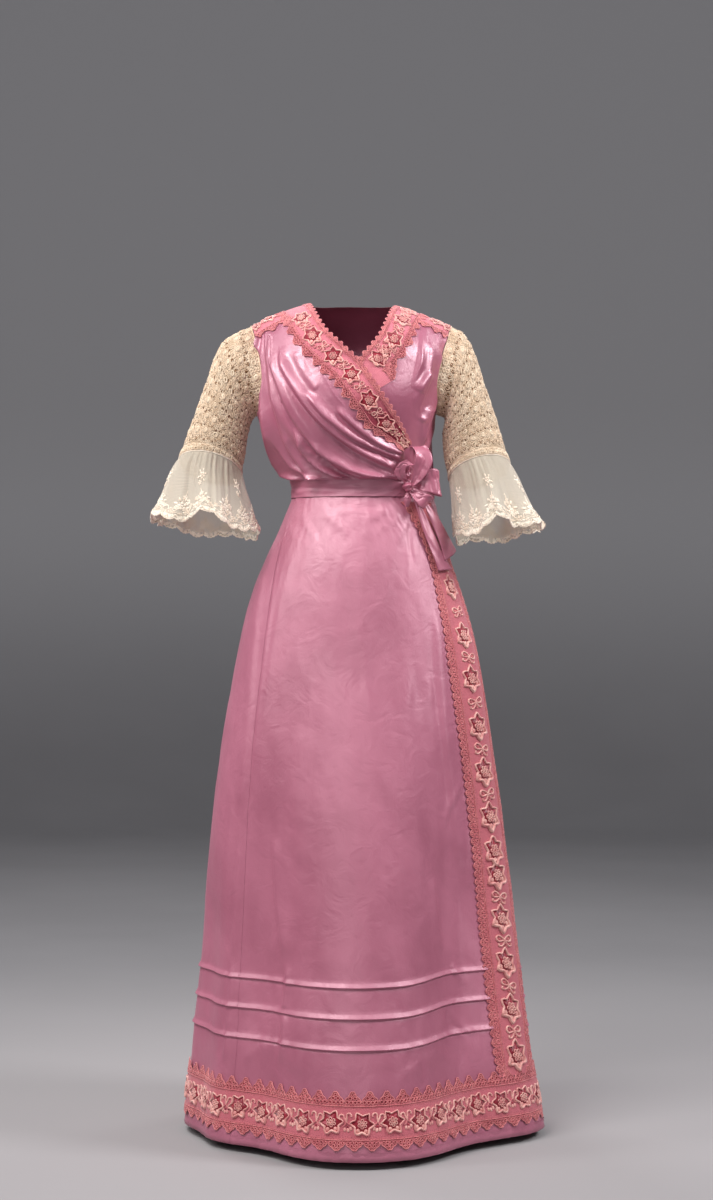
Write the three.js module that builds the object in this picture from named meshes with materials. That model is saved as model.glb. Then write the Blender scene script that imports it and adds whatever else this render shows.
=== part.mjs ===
// Edwardian day dress, about 1909: silk satin with a draped wrap bodice, a long flared skirt with three
// tucks, embroidered lace bands, crochet lace sleeves with gathered net flounces, and a bow with two tails
// at the waist. It is built as worn, hollow, with no wearer.
// Millimetres, +Z up, the front faces -Y and +X is the viewer's right. "height" is measured from the hem.
// The origin is midway between the shoulder seams, where a wearer carries it.
import * as THREE from "three";
import { mergeVertices } from "three/addons/utils/BufferGeometryUtils.js";

// ---------- driving dimensions ----------
const ORIGIN_HEIGHT = 1370;
const CLOTH = 1.3;
const SEAM_GAP = 0.35;
const SHOULDER_GAP = 0.8; // each side of the shoulder and side seams

// The dress's outline: middle and half width across, depth to the front and back, and the power of the
// superellipse that joins them, at each height.
const SECTIONS = [
  { height: 0, middle: 8, half: 312, front: 313, back: 335, power: 2 },
  { height: 150, middle: 3, half: 292, front: 288, back: 312, power: 2 },
  { height: 275, middle: 1.5, half: 275.5, front: 260, back: 288, power: 2 },
  { height: 480, middle: -2, half: 250, front: 222, back: 250, power: 2 },
  { height: 680, middle: -2, half: 221, front: 186, back: 214, power: 2 },
  { height: 820, middle: -0.5, half: 196.5, front: 160, back: 190, power: 2 },
  { height: 890, middle: -1, half: 179, front: 148, back: 176, power: 2 },
  { height: 955, middle: 2.5, half: 157.5, front: 133, back: 158, power: 2.05 },
  { height: 1023, middle: 8.5, half: 132.5, front: 112, back: 130, power: 2.1 },
  { height: 1075, middle: 10, half: 118, front: 96, back: 104, power: 2.15 },
  { height: 1125, middle: -1, half: 129, front: 112, back: 98, power: 2.2 },
  { height: 1176, middle: -12, half: 141, front: 132, back: 99, power: 2.3 },
  { height: 1227, middle: -13, half: 150, front: 142, back: 98, power: 2.3 },
  { height: 1290, middle: -10, half: 162, front: 128, back: 99, power: 2.3 },
  { height: 1330, middle: -9, half: 168, front: 120, back: 97, power: 2.3 },
  { height: 1400, middle: -9, half: 168, front: 116, back: 94, power: 2.3 },
];

// Soft vertical folds of the skirt: the angle round from the front, spread in degrees, depth at the hem,
// and the height where each one dies out.
const SKIRT_FOLDS = [
  { angle: 46, spread: 19, depth: 62, top: 800 },
  { angle: -40, spread: 15, depth: 50, top: 700 },
  { angle: -74, spread: 9, depth: 26, top: 560 },
  { angle: 110, spread: 12, depth: 30, top: 700 },
  { angle: 146, spread: 11, depth: 36, top: 860 },
  { angle: 180, spread: 10, depth: 34, top: 900 },
  { angle: 214, spread: 11, depth: 36, top: 860 },
  { angle: 248, spread: 12, depth: 30, top: 740 },
];
const FOLD_FULL_HEIGHT = 180;

const SKIRT_TOP = 1061;
const WAISTBAND = { bottom: 1061.4, top: 1087.4, out: 2.2 };
const BODICE_BOTTOM = 1088;
const HEM_RULED = 150; // the cloth is straight up to here, so that the hem band lies true on it
const TUCKS = [170, 218, 266];
const TUCK_DEPTH = 12;
const TUCK_RAISE = 2.4;

// Where the wrap edge and the seam on the other side of the front gore run, across the dress.
const WRAP_EDGE = [
  { height: 0, x: 266 },
  { height: 125, x: 257 },
  { height: 272, x: 241 },
  { height: 424, x: 226 },
  { height: 597, x: 205 },
  { height: 753, x: 183 },
  { height: 830, x: 171 },
  { height: 911, x: 153 },
  { height: 978, x: 133 },
  { height: 1027, x: 112 },
  { height: 1070, x: 90 },
];
const GORE_SEAM = [
  { height: 0, x: -204 },
  { height: 130, x: -197 },
  { height: 260, x: -191 },
  { height: 427, x: -184 },
  { height: 587, x: -176 },
  { height: 713, x: -165 },
  { height: 856, x: -148 },
  { height: 928, x: -138 },
  { height: 1011, x: -118 },
  { height: 1070, x: -98 },
];

// Lace bands.
const BAND = { out: 0.8, cloth: 1.2 };
const HEM_BAND = { bottom: 14, top: 108, scallop: 9, point: 17, starRow: 59 };
const FRONT_BAND = { half: 39, scallop: 6, bottom: 111, pitch: 78.4, cells: 12, steps: 6 };
const STAR = { tip: 19, valley: 11, points: 6, rise: 2 };

// Shoulders and armholes.
const SHOULDER = { neckX: 78, height: 1389, slope: 0.4, ease: 25 };
const SHOULDER_ROUND = { front: 95, back: 78 };
const ARMHOLE = { low: 1204, spread: 23, clear: 0.9 };

// ---------- small helpers ----------
const rad = THREE.MathUtils.degToRad;
const deg = THREE.MathUtils.radToDeg;
const clamp = THREE.MathUtils.clamp;
const lerp = THREE.MathUtils.lerp;
const smooth = (t) => THREE.MathUtils.smoothstep(t, 0, 1);
const bell = (t) => Math.exp(-0.5 * t * t);
const range = (n, f) => Array.from({ length: n }, (_, i) => f(i));

// A table's column at a key, on a smooth curve through its rows.
function column(table, key, name, at) {
  const last = table.length - 1;
  if (at <= table[0][key]) return table[0][name];
  if (at >= table[last][key]) return table[last][name];
  const i = table.findIndex((row) => row[key] > at) - 1;
  const [k0, k1] = [table[i][key], table[i + 1][key]];
  const [v0, v1] = [table[i][name], table[i + 1][name]];
  const slopeAt = (j) => {
    const a = table[Math.max(0, j - 1)];
    const b = table[Math.min(last, j + 1)];
    return (b[name] - a[name]) / (b[key] - a[key]);
  };
  const t = (at - k0) / (k1 - k0);
  const span = k1 - k0;
  return (
    v0 * (1 + 2 * t) * (1 - t) ** 2 +
    slopeAt(i) * span * t * (1 - t) ** 2 +
    v1 * t * t * (3 - 2 * t) +
    slopeAt(i + 1) * span * t * t * (t - 1)
  );
}
const section = (name, height) => column(SECTIONS, "height", name, height);
const signedPower = (v, p) => Math.sign(v) * Math.abs(v) ** p;

// ---------- the skirt's surface ----------
function foldDepth(angle, height) {
  return SKIRT_FOLDS.reduce((sum, fold) => {
    const away = ((angle - fold.angle + 540) % 360) - 180;
    const grown = smooth((fold.top - height) / (fold.top - FOLD_FULL_HEIGHT));
    return sum + fold.depth * grown * bell(away / fold.spread);
  }, 0);
}

function skirtRing(angle, height) {
  const [s, c] = [Math.sin(rad(angle)), Math.cos(rad(angle))];
  const across = section("half", height);
  const deep = section(c > 0 ? "front" : "back", height);
  const power = 2 / section("power", height);
  const shape = new THREE.Vector3(
    across * signedPower(s, power),
    -deep * signedPower(c, power),
    0,
  );
  const radius = shape.length();
  shape.multiplyScalar((radius - foldDepth(angle, height)) / radius);
  return shape.add(new THREE.Vector3(section("middle", height), 0, height));
}

function skirtPoint(angle, height) {
  if (height >= HEM_RULED) return skirtRing(angle, height);
  const low = skirtRing(angle, 0);
  return low.lerp(skirtRing(angle, HEM_RULED), height / HEM_RULED);
}

// The angle at which the skirt's front half is at x, between two angles.
function skirtAngleAt(x, height, from, to) {
  let [low, high] = [from, to];
  for (let i = 0; i < 40; i++) {
    const mid = (low + high) / 2;
    if (skirtPoint(mid, height).x < x) low = mid;
    else high = mid;
  }
  return (low + high) / 2;
}

// The angle that lies a distance along the skirt from another one, at one height.
function skirtAngleAlong(angle, height, distance) {
  const step = Math.sign(distance) * 0.25;
  let [at, gone] = [angle, 0];
  let here = skirtPoint(at, height);
  while (gone < Math.abs(distance)) {
    at += step;
    const next = skirtPoint(at, height);
    gone += next.distanceTo(here);
    here = next;
  }
  return at;
}

// ---------- the torso's surface: an angle round, and a distance down from the shoulder ridge ----------
function ridgeHeight(x) {
  const past = Math.abs(x - section("middle", 1400)) - SHOULDER.neckX;
  return SHOULDER.height - (SHOULDER.slope * (past + Math.hypot(past, SHOULDER.ease))) / 2;
}

function torsoAcross(angle, height) {
  const power = 2 / section("power", height);
  return section("middle", height) + section("half", height) * signedPower(Math.sin(rad(angle)), power);
}

function torsoPoint(angle, down) {
  const front = Math.cos(rad(angle)) >= 0;
  const round = SHOULDER_ROUND[front ? "front" : "back"];
  const turn = (round * Math.PI) / 2;
  let x = torsoAcross(angle, 1400);
  for (let i = 0; i < 3; i++) {
    const guess = ridgeHeight(x) - round + (down < turn ? round * Math.cos(down / round) : turn - down);
    x = torsoAcross(angle, guess);
  }
  const ridge = ridgeHeight(x);
  const bent = Math.min(down, turn) / round;
  const height = ridge - round + (down < turn ? round * Math.cos(bent) : turn - down);
  const deep = section(front ? "front" : "back", height);
  const power = 2 / section("power", height);
  const y = -deep * signedPower(Math.cos(rad(angle)), power) * Math.sin(bent);
  return new THREE.Vector3(x, y, height);
}

// The torso's own coordinates for a place that the front view gives, across and up.
function torsoFront(x, height) {
  const middle = section("middle", height);
  const share = clamp(Math.abs(x - middle) / section("half", height), 0, 1);
  const angle = Math.sign(x - middle) * deg(Math.asin(share ** (section("power", height) / 2)));
  return { angle, down: downTo(x, height, SHOULDER_ROUND.front) };
}

function downTo(x, height, round) {
  const below = ridgeHeight(x) - height;
  const overEdge = round * Math.acos(clamp(1 - below / round, -1, 1));
  return below < round ? overEdge : below - round + (round * Math.PI) / 2;
}

function downAtAngle(angle, height, front = true) {
  return downTo(torsoAcross(angle, height), height, SHOULDER_ROUND[front ? "front" : "back"]);
}

// ---------- walls ----------
function normals(grid, closed) {
  const rows = grid.length;
  const cols = grid[0].length;
  const col = (j, i) => grid[j][closed ? (i + cols) % cols : clamp(i, 0, cols - 1)];
  return grid.map((row, j) =>
    row.map((_, i) => {
      const along = col(j, i + 1).clone().sub(col(j, i - 1));
      const up = grid[Math.min(rows - 1, j + 1)][i].clone().sub(grid[Math.max(0, j - 1)][i]);
      return along.cross(up).normalize();
    }),
  );
}

const moved = (grid, directions, distance) =>
  grid.map((row, j) => row.map((p, i) => p.clone().addScaledVector(directions[j][i], distance(j, i))));

function solidFrom(points, faces) {
  const geometry = new THREE.BufferGeometry();
  const flat = points.flatMap((p) => [p.x, p.y, p.z]);
  geometry.setAttribute("position", new THREE.Float32BufferAttribute(flat, 3));
  geometry.setIndex(faces.flat());
  return geometry;
}

// A closed wall between an outer and an inner grid of points, rows running up and columns running round.
function wall(outer, inner, closed = false) {
  const rows = outer.length;
  const cols = outer[0].length;
  const points = [...outer.flat(), ...inner.flat()];
  const at = (side, j, i) => side * rows * cols + j * cols + (i % cols);
  const faces = [];
  const quad = (a, b, c, d) => faces.push([a, b, c], [a, c, d]);
  const spans = closed ? cols : cols - 1;
  for (let j = 0; j < rows - 1; j++)
    for (let i = 0; i < spans; i++) {
      quad(at(0, j, i), at(0, j, i + 1), at(0, j + 1, i + 1), at(0, j + 1, i));
      quad(at(1, j, i), at(1, j + 1, i), at(1, j + 1, i + 1), at(1, j, i + 1));
    }
  for (let i = 0; i < spans; i++) {
    quad(at(1, 0, i), at(1, 0, i + 1), at(0, 0, i + 1), at(0, 0, i));
    quad(at(0, rows - 1, i), at(0, rows - 1, i + 1), at(1, rows - 1, i + 1), at(1, rows - 1, i));
  }
  if (!closed)
    for (let j = 0; j < rows - 1; j++) {
      quad(at(1, j, 0), at(0, j, 0), at(0, j + 1, 0), at(1, j + 1, 0));
      quad(at(0, j, cols - 1), at(1, j, cols - 1), at(1, j + 1, cols - 1), at(0, j + 1, cols - 1));
    }
  return solidFrom(points, faces);
}

// Cloth on a grid of points: its outer face lies `out` from the grid, which may vary, and its inner face
// is plain.
function cloth(grid, { closed = false, out = 0, thick = CLOTH, raise = null } = {}) {
  const way = normals(grid, closed);
  const outAt = typeof out === "number" ? () => out : out;
  const outer = moved(grid, way, (j, i) => outAt(j, i) + (raise ? raise(j, i) : 0));
  const inner = moved(grid, way, (j, i) => outAt(j, i) - thick);
  return wall(outer, inner, closed);
}

// ---------- lace bands with raised stars ----------
// A band runs along a surface that is given by two lengths, along and across. It is made of cells, each
// with a low six-pointed star in its middle; its two edges are cut in points or scallops, and its back is
// plain.
function starBand(options) {
  const { surface, starts, middle, steps, nearEdge, farEdge, out, hasStar } = options;
  const { thick = BAND.cloth, size = 1 } = options;
  const closed = starts.closed;
  const cells = starts.at.length - 1;
  const count = STAR.points * 2;
  const points = [];
  const index = new Map();
  const wayOf = (along, across) => {
    const x = surface(along + 0.5, across).sub(surface(along - 0.5, across));
    const y = surface(along, across + 0.5).sub(surface(along, across - 0.5));
    return x.cross(y).normalize();
  };
  // Each place has one point in the outer face and, on the borders, one in the back.
  const add = (key, along, across, lift) => {
    if (!index.has(key)) {
      index.set(key, points.length);
      points.push(surface(along, across).addScaledVector(wayOf(along, across), lift));
    }
    return { id: index.get(key), x: along, y: across };
  };
  const last = cells * steps;
  const border = (name, face, c, k) => {
    const n = c * steps + k;
    const id = closed ? n % last : n;
    const along = lerp(starts.at[c], starts.at[c + 1] ?? starts.at[c], k / steps);
    const across = name === "near" ? nearEdge(n) : name === "far" ? farEdge(n) : middle;
    return add(`${name} ${face} ${id}`, along, across, out(along) - (face === "back" ? thick : 0));
  };
  const starPoint = (c, k) => {
    const [from, to] = [starts.at[c], starts.at[c + 1]];
    const scale = size * Math.min(1, (to - from) / (2.2 * STAR.tip * size));
    const reach = k < 0 ? 0 : (k % 2 ? STAR.valley : STAR.tip) * scale;
    const turn = (k / count) * 2 * Math.PI;
    const along = (from + to) / 2 + reach * Math.cos(turn);
    const rise = k < 0 ? STAR.rise : 0;
    return add(`star ${c} ${k}`, along, middle + reach * Math.sin(turn), out(along) + rise);
  };
  const faces = [];
  const fill = (contour, outward) => {
    const flat = contour.map((p) => new THREE.Vector2(p.x, p.y));
    for (const [a, b, c] of THREE.ShapeUtils.triangulateShape(flat, [])) {
      const turn = flat[b].clone().sub(flat[a]).cross(flat[c].clone().sub(flat[a]));
      const face = turn > 0 === outward ? [a, b, c] : [a, c, b];
      faces.push(face.map((k) => contour[k].id));
    }
  };
  for (let c = 0; c < cells; c++) {
    for (const side of ["near", "far"]) {
      const line = (name, face) => range(steps + 1, (k) => border(name, face, c, k));
      if (hasStar(c)) {
        const turned = (k) => (side === "near" ? (STAR.points + k) % count : STAR.points - k);
        const sideOfStar = range(STAR.points + 1, (k) => starPoint(c, turned(k)));
        const middles = line("middle", "front");
        const edge = line(side, "front").reverse();
        fill([middles[0], ...sideOfStar, middles[steps], ...edge], true);
      }
      for (const face of hasStar(c) ? ["back"] : ["front", "back"]) {
        const [middles, edge] = [line("middle", face), line(side, face)];
        for (let k = 0; k < steps; k++) {
          fill([middles[k], middles[k + 1], edge[k + 1], edge[k]], face === "front");
        }
      }
      for (let k = 0; k < steps; k++) {
        const [a, b] = ["front", "back"].map((face) => border(side, face, c, k).id);
        const [d, e] = ["front", "back"].map((face) => border(side, face, c, k + 1).id);
        if (side === "near") faces.push([b, e, d], [b, d, a]);
        else faces.push([a, d, e], [a, e, b]);
      }
    }
    if (hasStar(c)) {
      const top = starPoint(c, -1).id;
      for (let k = 0; k < count; k++) {
        faces.push([starPoint(c, k).id, starPoint(c, (k + 1) % count).id, top]);
      }
    }
  }
  if (!closed)
    for (const [c, k, turn] of [[0, 0, 1], [cells - 1, steps, -1]])
      for (const [low, high] of [["near", "middle"], ["middle", "far"]]) {
        const [a, b] = [border(low, "front", c, k).id, border(high, "front", c, k).id];
        const [d, e] = [border(low, "back", c, k).id, border(high, "back", c, k).id];
        if (turn > 0) faces.push([d, a, b], [d, b, e]);
        else faces.push([a, d, e], [a, e, b]);
      }
  return solidFrom(points, faces);
}

// ---------- skirt ----------
const SKIRT_ROWS = [
  0,
  HEM_RULED,
  ...TUCKS.flatMap((h) => [h - 0.5, h + 0.5, h + TUCK_DEPTH]),
  390,
  510,
  630,
  740,
  830,
  900,
  955,
  995,
  1030,
  SKIRT_TOP,
];
const isTuckEdge = (j) => TUCKS.some((h) => SKIRT_ROWS[j] === h + 0.5);
// Below the ruled height every column keeps its angle.
const ruled = (angleAt) => (h) => angleAt(Math.max(h, HEM_RULED));
const wrapAngle = ruled((h) => skirtAngleAt(column(WRAP_EDGE, "height", "x", h), h, 20, 89));
const seamAngle = ruled((h) => skirtAngleAt(column(GORE_SEAM, "height", "x", h), h, -88, -10));
const bandLeft = ruled((h) => skirtAngleAlong(wrapAngle(h), h, -FRONT_BAND.half));
const bandRight = ruled((h) => skirtAngleAlong(wrapAngle(h), h, FRONT_BAND.half));
const FRONT_COLUMNS = 13;
const BACK_COLUMNS = 24;

// Angles that share out the skirt evenly, by its length round, between two of them.
function sharedOut(from, to, count, h) {
  const fine = 240;
  const angleOf = (k) => lerp(from, to, k / fine);
  const lengths = [0];
  for (let k = 1; k <= fine; k++) {
    lengths.push(lengths[k - 1] + skirtPoint(angleOf(k), h).distanceTo(skirtPoint(angleOf(k - 1), h)));
  }
  return range(count, (i) => {
    const want = (lengths[fine] * i) / (count - 1);
    if (i === 0 || i === count - 1) return i ? to : from;
    const k = lengths.findIndex((v) => v > want) - 1;
    return angleOf(k + (want - lengths[k]) / (lengths[k + 1] - lengths[k]));
  });
}

// The angles of the skirt's columns at a height: the front gore ends on the band's left edge and the wrap
// edge, and the back starts on the wrap edge and the band's right edge.
const columnAngles = (from, to, count) => (h) => sharedOut(from(h), to(h), count, Math.max(h, HEM_RULED));
const frontEven = columnAngles(seamAngle, bandLeft, FRONT_COLUMNS);
const backEven = columnAngles(bandRight, (h) => seamAngle(h) + 360, BACK_COLUMNS);
const frontAngles = (h) => [...frontEven(h), wrapAngle(h)];
const backAngles = (h) => [wrapAngle(h), ...backEven(h)];

// A panel's grid, with its two side edges drawn in by half the seam's gap.
function skirtGrid(anglesAt) {
  return SKIRT_ROWS.map((h) => {
    const angles = anglesAt(h);
    angles[0] = skirtAngleAlong(angles[0], h, SEAM_GAP / 2);
    const last = angles.length - 1;
    angles[last] = skirtAngleAlong(angles[last], h, -SEAM_GAP / 2);
    return angles.map((a) => skirtPoint(a, h));
  });
}

// The tucks run round the skirt and stop at the front band.
function skirtFront() {
  const raise = (j, i) => (isTuckEdge(j) && i < FRONT_COLUMNS - 1 ? TUCK_RAISE : 0);
  return cloth(skirtGrid(frontAngles), { raise });
}
function skirtBack() {
  const raise = (j, i) => (isTuckEdge(j) && i > 1 ? TUCK_RAISE : 0);
  return cloth(skirtGrid(backAngles), { raise });
}

// A point on the skirt's flat facets, so that what lies on them follows them: u counts columns all the way
// round.
const ALL_COLUMNS = FRONT_COLUMNS + BACK_COLUMNS;
function facetRow(h) {
  const front = frontAngles(h).map((a) => skirtPoint(a, h));
  const back = backAngles(h).map((a) => skirtPoint(a, h));
  return [...front, ...back.slice(1, -1)];
}
const LOW_ROWS = [0, HEM_RULED].map(facetRow);
function lowFacetPoint(u, h) {
  const i = ((Math.floor(u) % ALL_COLUMNS) + ALL_COLUMNS) % ALL_COLUMNS;
  const share = u - Math.floor(u);
  const [a, b] = LOW_ROWS.map((row) => row[i].clone().lerp(row[(i + 1) % ALL_COLUMNS], share));
  return a.lerp(b, h / HEM_RULED);
}

// The hem band: one cell to each column of the skirt, so that every star lies on a flat of it.
const HEM_STEPS = 4;
function hemBand() {
  const starts = [0];
  for (let i = 0; i < ALL_COLUMNS; i++) {
    const [a, b] = [i, i + 1].map((u) => lowFacetPoint(u, HEM_BAND.starRow));
    starts.push(starts[i] + a.distanceTo(b));
  }
  const total = starts[ALL_COLUMNS];
  const surface = (along, up) => {
    const wrapped = ((along % total) + total) % total;
    const i = Math.min(ALL_COLUMNS, starts.findIndex((v) => v > wrapped)) - 1;
    return lowFacetPoint(i + (wrapped - starts[i]) / (starts[i + 1] - starts[i]), up);
  };
  return starBand({
    surface,
    starts: { at: starts, closed: true },
    middle: HEM_BAND.starRow,
    steps: HEM_STEPS,
    nearEdge: (n) => HEM_BAND.bottom + (n % 2 ? 0 : HEM_BAND.scallop),
    farEdge: (n) => HEM_BAND.top - (n % 2 ? 0 : HEM_BAND.point),
    out: () => BAND.out + BAND.cloth,
    hasStar: () => true,
  });
}

// The front band's own surface: across from its middle, and up, on the skirt's facets.
const BAND_ROWS = SKIRT_ROWS.map((h) => [
  skirtPoint(bandLeft(h), h),
  skirtPoint(wrapAngle(h), h),
  skirtPoint(bandRight(h), h),
]);
function bandFacetPoint(across, h) {
  const j = Math.min(SKIRT_ROWS.findIndex((v) => v > h) - 1, SKIRT_ROWS.length - 2);
  const t = (h - SKIRT_ROWS[j]) / (SKIRT_ROWS[j + 1] - SKIRT_ROWS[j]);
  const [left, middle, right] = range(3, (i) => BAND_ROWS[j][i].clone().lerp(BAND_ROWS[j + 1][i], t));
  const share = across / FRONT_BAND.half;
  return share < 0 ? middle.lerp(left, -share) : middle.lerp(right, share);
}

const bandOut = (h) => BAND.out + BAND.cloth + 1.2 * smooth((h - 780) / 120) + 2.6 * smooth((h - 950) / 40);
function frontBand() {
  const { bottom, pitch, half, scallop, cells, steps } = FRONT_BAND;
  return starBand({
    surface: (along, across) => bandFacetPoint(-across, along),
    starts: { at: range(cells + 1, (k) => bottom + k * pitch), closed: false },
    middle: 0,
    steps,
    nearEdge: (n) => -half + 0.5 + (n % 2 ? scallop : 0),
    farEdge: (n) => half - 0.5 - (n % 2 ? scallop : 0),
    out: bandOut,
    hasStar: (c) => c < cells - 1,
  });
}

function waistband() {
  const columns = 40;
  const grid = range(2, (j) => {
    const h = j ? WAISTBAND.top : WAISTBAND.bottom;
    return range(columns, (i) => skirtRing((i / columns) * 360, h));
  });
  return cloth(grid, { closed: true, out: WAISTBAND.out - 0.6 });
}

// ---------- bodice ----------
// A patch between four edges, each a function of 0..1 that gives { angle, down }.
function patch(left, right, top, bottom) {
  return (s, t) => {
    const [l, r, u, d] = [left(t), right(t), top(s), bottom(s)];
    const [lu, ld, ru, rd] = [left(0), left(1), right(0), right(1)];
    const mix = (k) =>
      (1 - s) * l[k] + s * r[k] + (1 - t) * u[k] + t * d[k] -
      ((1 - s) * (1 - t) * lu[k] + (1 - s) * t * ld[k] + s * (1 - t) * ru[k] + s * t * rd[k]);
    return { angle: mix("angle"), down: Math.max(0.01, mix("down")) };
  };
}

// An edge through places given across and up, seen from the front.
function edgeThrough(table) {
  const rows = table.map((row) => ({ at: row.at, ...torsoFront(row.x, row.height) }));
  rows[0].down = table[0].ridge ? 0.01 : rows[0].down;
  return (t) => ({ angle: column(rows, "at", "angle", t), down: column(rows, "at", "down", t) });
}

// The armhole's edge from the shoulder seam down, and then the side seam; side is -1 or 1, front is 1 and
// back -1.
const ARMHOLE_SHARE = 0.55;
function armholePlace(side, turn) {
  const top = torsoPoint(side * 90, 0.01).z;
  const middle = (top + ARMHOLE.low) / 2;
  const height = middle + ((top - ARMHOLE.low) / 2) * Math.cos(rad(turn));
  return { angle: side * (90 - ARMHOLE.spread * Math.sin(rad(turn))), height };
}
function sideEdge(side, front) {
  return (t) => {
    if (t < ARMHOLE_SHARE) {
      const { angle, height } = armholePlace(side, (front * t * 180) / ARMHOLE_SHARE);
      return { angle, down: t === 0 ? 0.01 : downAtAngle(angle, height, front > 0) };
    }
    const height = lerp(ARMHOLE.low, BODICE_BOTTOM, (t - ARMHOLE_SHARE) / (1 - ARMHOLE_SHARE));
    return { angle: side * 90, down: downAtAngle(side * 90, height, front > 0) };
  };
}

// A panel of the bodice on the torso, from its places at 0..1 across and 0..1 down. `liftAt` gives how far
// its cloth stands off, from the place and the panel's width there.
function panel(places, liftAt, columns, rows, sideways) {
  const base = (s, t) => {
    const { angle, down } = places(s, t);
    return torsoPoint(angle, down);
  };
  const widths = range(21, (k) => {
    const line = range(31, (i) => base(i / 30, k / 20));
    return { at: k / 20, width: line.slice(1).reduce((sum, p, i) => sum + p.distanceTo(line[i]), 0) };
  });
  const width = (t) => column(widths, "at", "width", t);
  // The share of the panel's width that lies a distance in from its free edge, square to that edge.
  const shareIn = (edge, t, away) => {
    const along = base(edge, Math.min(1, t + 0.03)).sub(base(edge, Math.max(0, t - 0.03)));
    const across = base(edge ? 0.95 : 0.05, t).sub(base(edge, t));
    return away / width(t) / Math.max(0.55, Math.sin(along.angleTo(across)));
  };
  const e = 0.004;
  const point = (s, t) => {
    const across = base(s + e, t).sub(base(s - e, t));
    const up = base(s, Math.max(0, t - e)).sub(base(s, t + e));
    const way = across.cross(up).normalize();
    const p = base(s, t).addScaledVector(way, liftAt(s, t, width(t)));
    return p.add(new THREE.Vector3(0, sideways * SHOULDER_GAP, 0));
  };
  const grid = range(rows + 1, (j) => range(columns + 1, (i) => point(i / columns, 1 - j / rows)));
  return { point, grid, width, shareIn };
}

// Folds of the wearer's right front, each a ridge that runs from the shoulder to the knot: its place across
// at the top and bottom, its half width at both, and its height.
const RIGHT_FOLDS = [
  { top: 0.95, bottom: 0.98, wideTop: 0.04, wideBottom: 0.04, rise: 4 },
  { top: 0.84, bottom: 0.9, wideTop: 0.045, wideBottom: 0.04, rise: 8 },
  { top: 0.7, bottom: 0.7, wideTop: 0.05, wideBottom: 0.04, rise: 10 },
  { top: 0.56, bottom: 0.5, wideTop: 0.045, wideBottom: 0.032, rise: 9 },
  { top: 0.45, bottom: 0.39, wideTop: 0.04, wideBottom: 0.03, rise: 8 },
  { top: 0.34, bottom: 0.28, wideTop: 0.04, wideBottom: 0.03, rise: 7 },
  { top: 0.25, bottom: 0.18, wideTop: 0.035, wideBottom: 0.028, rise: 5 },
];
const RIGHT_OUT = 5;
function foldsAt(folds, s, t) {
  return folds.reduce((sum, fold) => {
    const at = lerp(fold.top, fold.bottom, t);
    return sum + fold.rise * bell((s - at) / lerp(fold.wideTop, fold.wideBottom, t));
  }, 0);
}

const RIGHT_NECK = [
  { at: 0, x: -89, height: 1384, ridge: true },
  { at: 0.2, x: -60, height: 1345 },
  { at: 0.42, x: -19, height: 1301 },
  { at: 0.7, x: 33, height: 1237 },
  { at: 1, x: 90, height: 1142 },
];
const RIGHT_HEM = [
  { at: 0, x: 90, height: 1142 },
  { at: 0.25, x: 89, height: 1112 },
  { at: 0.45, x: 84, height: 1089 },
  { at: 0.7, x: 2, height: 1088 },
];
const NECK_BAND = { inner: 9, outer: 52, scallop: 5, steps: 4, fade: 20 };

// The folds die out where the lace band lies. The panel's rows run slantwise to its free edge.
const SLANT = 0.68;
const clearOfBand = (away) => smooth((away - NECK_BAND.outer) / NECK_BAND.fade);

const frontRight = (() => {
  const neck = edgeThrough(RIGHT_NECK);
  const side = sideEdge(-1, 1);
  const hem = edgeThrough(RIGHT_HEM);
  const lastAt = RIGHT_HEM[RIGHT_HEM.length - 1].at;
  const top = (s) => ({ angle: lerp(-90, neck(0).angle, s), down: 0.01 });
  const bottom = (s) => {
    if (1 - s < lastAt) return hem(1 - s);
    const angle = lerp(-90, hem(lastAt).angle, s / (1 - lastAt));
    return { angle, down: downAtAngle(angle, BODICE_BOTTOM) };
  };
  const places = patch(side, neck, top, bottom);
  // The cloth stands off the other front along its free edge, and lies in at the shoulder, side and waist.
  const lift = (s, t, width) => {
    const away = (1 - s) * width * SLANT;
    const edge = RIGHT_OUT * smooth(s / 0.5) * smooth(t / 0.08);
    const held = smooth((t - 0.1) / 0.1) * smooth((1 - t) / 0.1 + 0.3) * smooth(s / 0.06);
    const clear = Math.max(clearOfBand(away), smooth((t - 0.9) / 0.1));
    return edge + foldsAt(RIGHT_FOLDS, 1 - s, t) * held * clear;
  };
  return panel(places, lift, 23, 12, -1);
})();

const LEFT_FOLDS = [
  { top: 0.3, bottom: 0.3, wideTop: 0.06, wideBottom: 0.05, rise: 3 },
  { top: 0.55, bottom: 0.45, wideTop: 0.07, wideBottom: 0.05, rise: 6 },
  { top: 0.78, bottom: 0.64, wideTop: 0.06, wideBottom: 0.05, rise: 7 },
];
const LEFT_NECK = [
  { at: 0, x: 73, height: 1384, ridge: true },
  { at: 0.25, x: 43, height: 1334 },
  { at: 0.5, x: 3, height: 1272 },
  { at: 0.7, x: 32, height: 1214 },
  { at: 1, x: 86, height: 1089 },
];
const frontLeft = (() => {
  const neck = edgeThrough(LEFT_NECK);
  const side = sideEdge(1, 1);
  const top = (s) => ({ angle: lerp(neck(0).angle, 90, s), down: 0.01 });
  const bottom = (s) => {
    const angle = lerp(neck(1).angle, 90, s);
    return { angle, down: downAtAngle(angle, BODICE_BOTTOM) };
  };
  const lift = (s, t, width) => {
    const alongFold = smooth((t - 0.11) / 0.1) * smooth((1 - t) / 0.15);
    const held = alongFold * smooth((1 - s) / 0.1) * smooth(s / 0.3);
    return foldsAt(LEFT_FOLDS, s, t) * held * clearOfBand(s * width);
  };
  return panel(patch(neck, side, top, bottom), lift, 12, 10, -1);
})();

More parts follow.
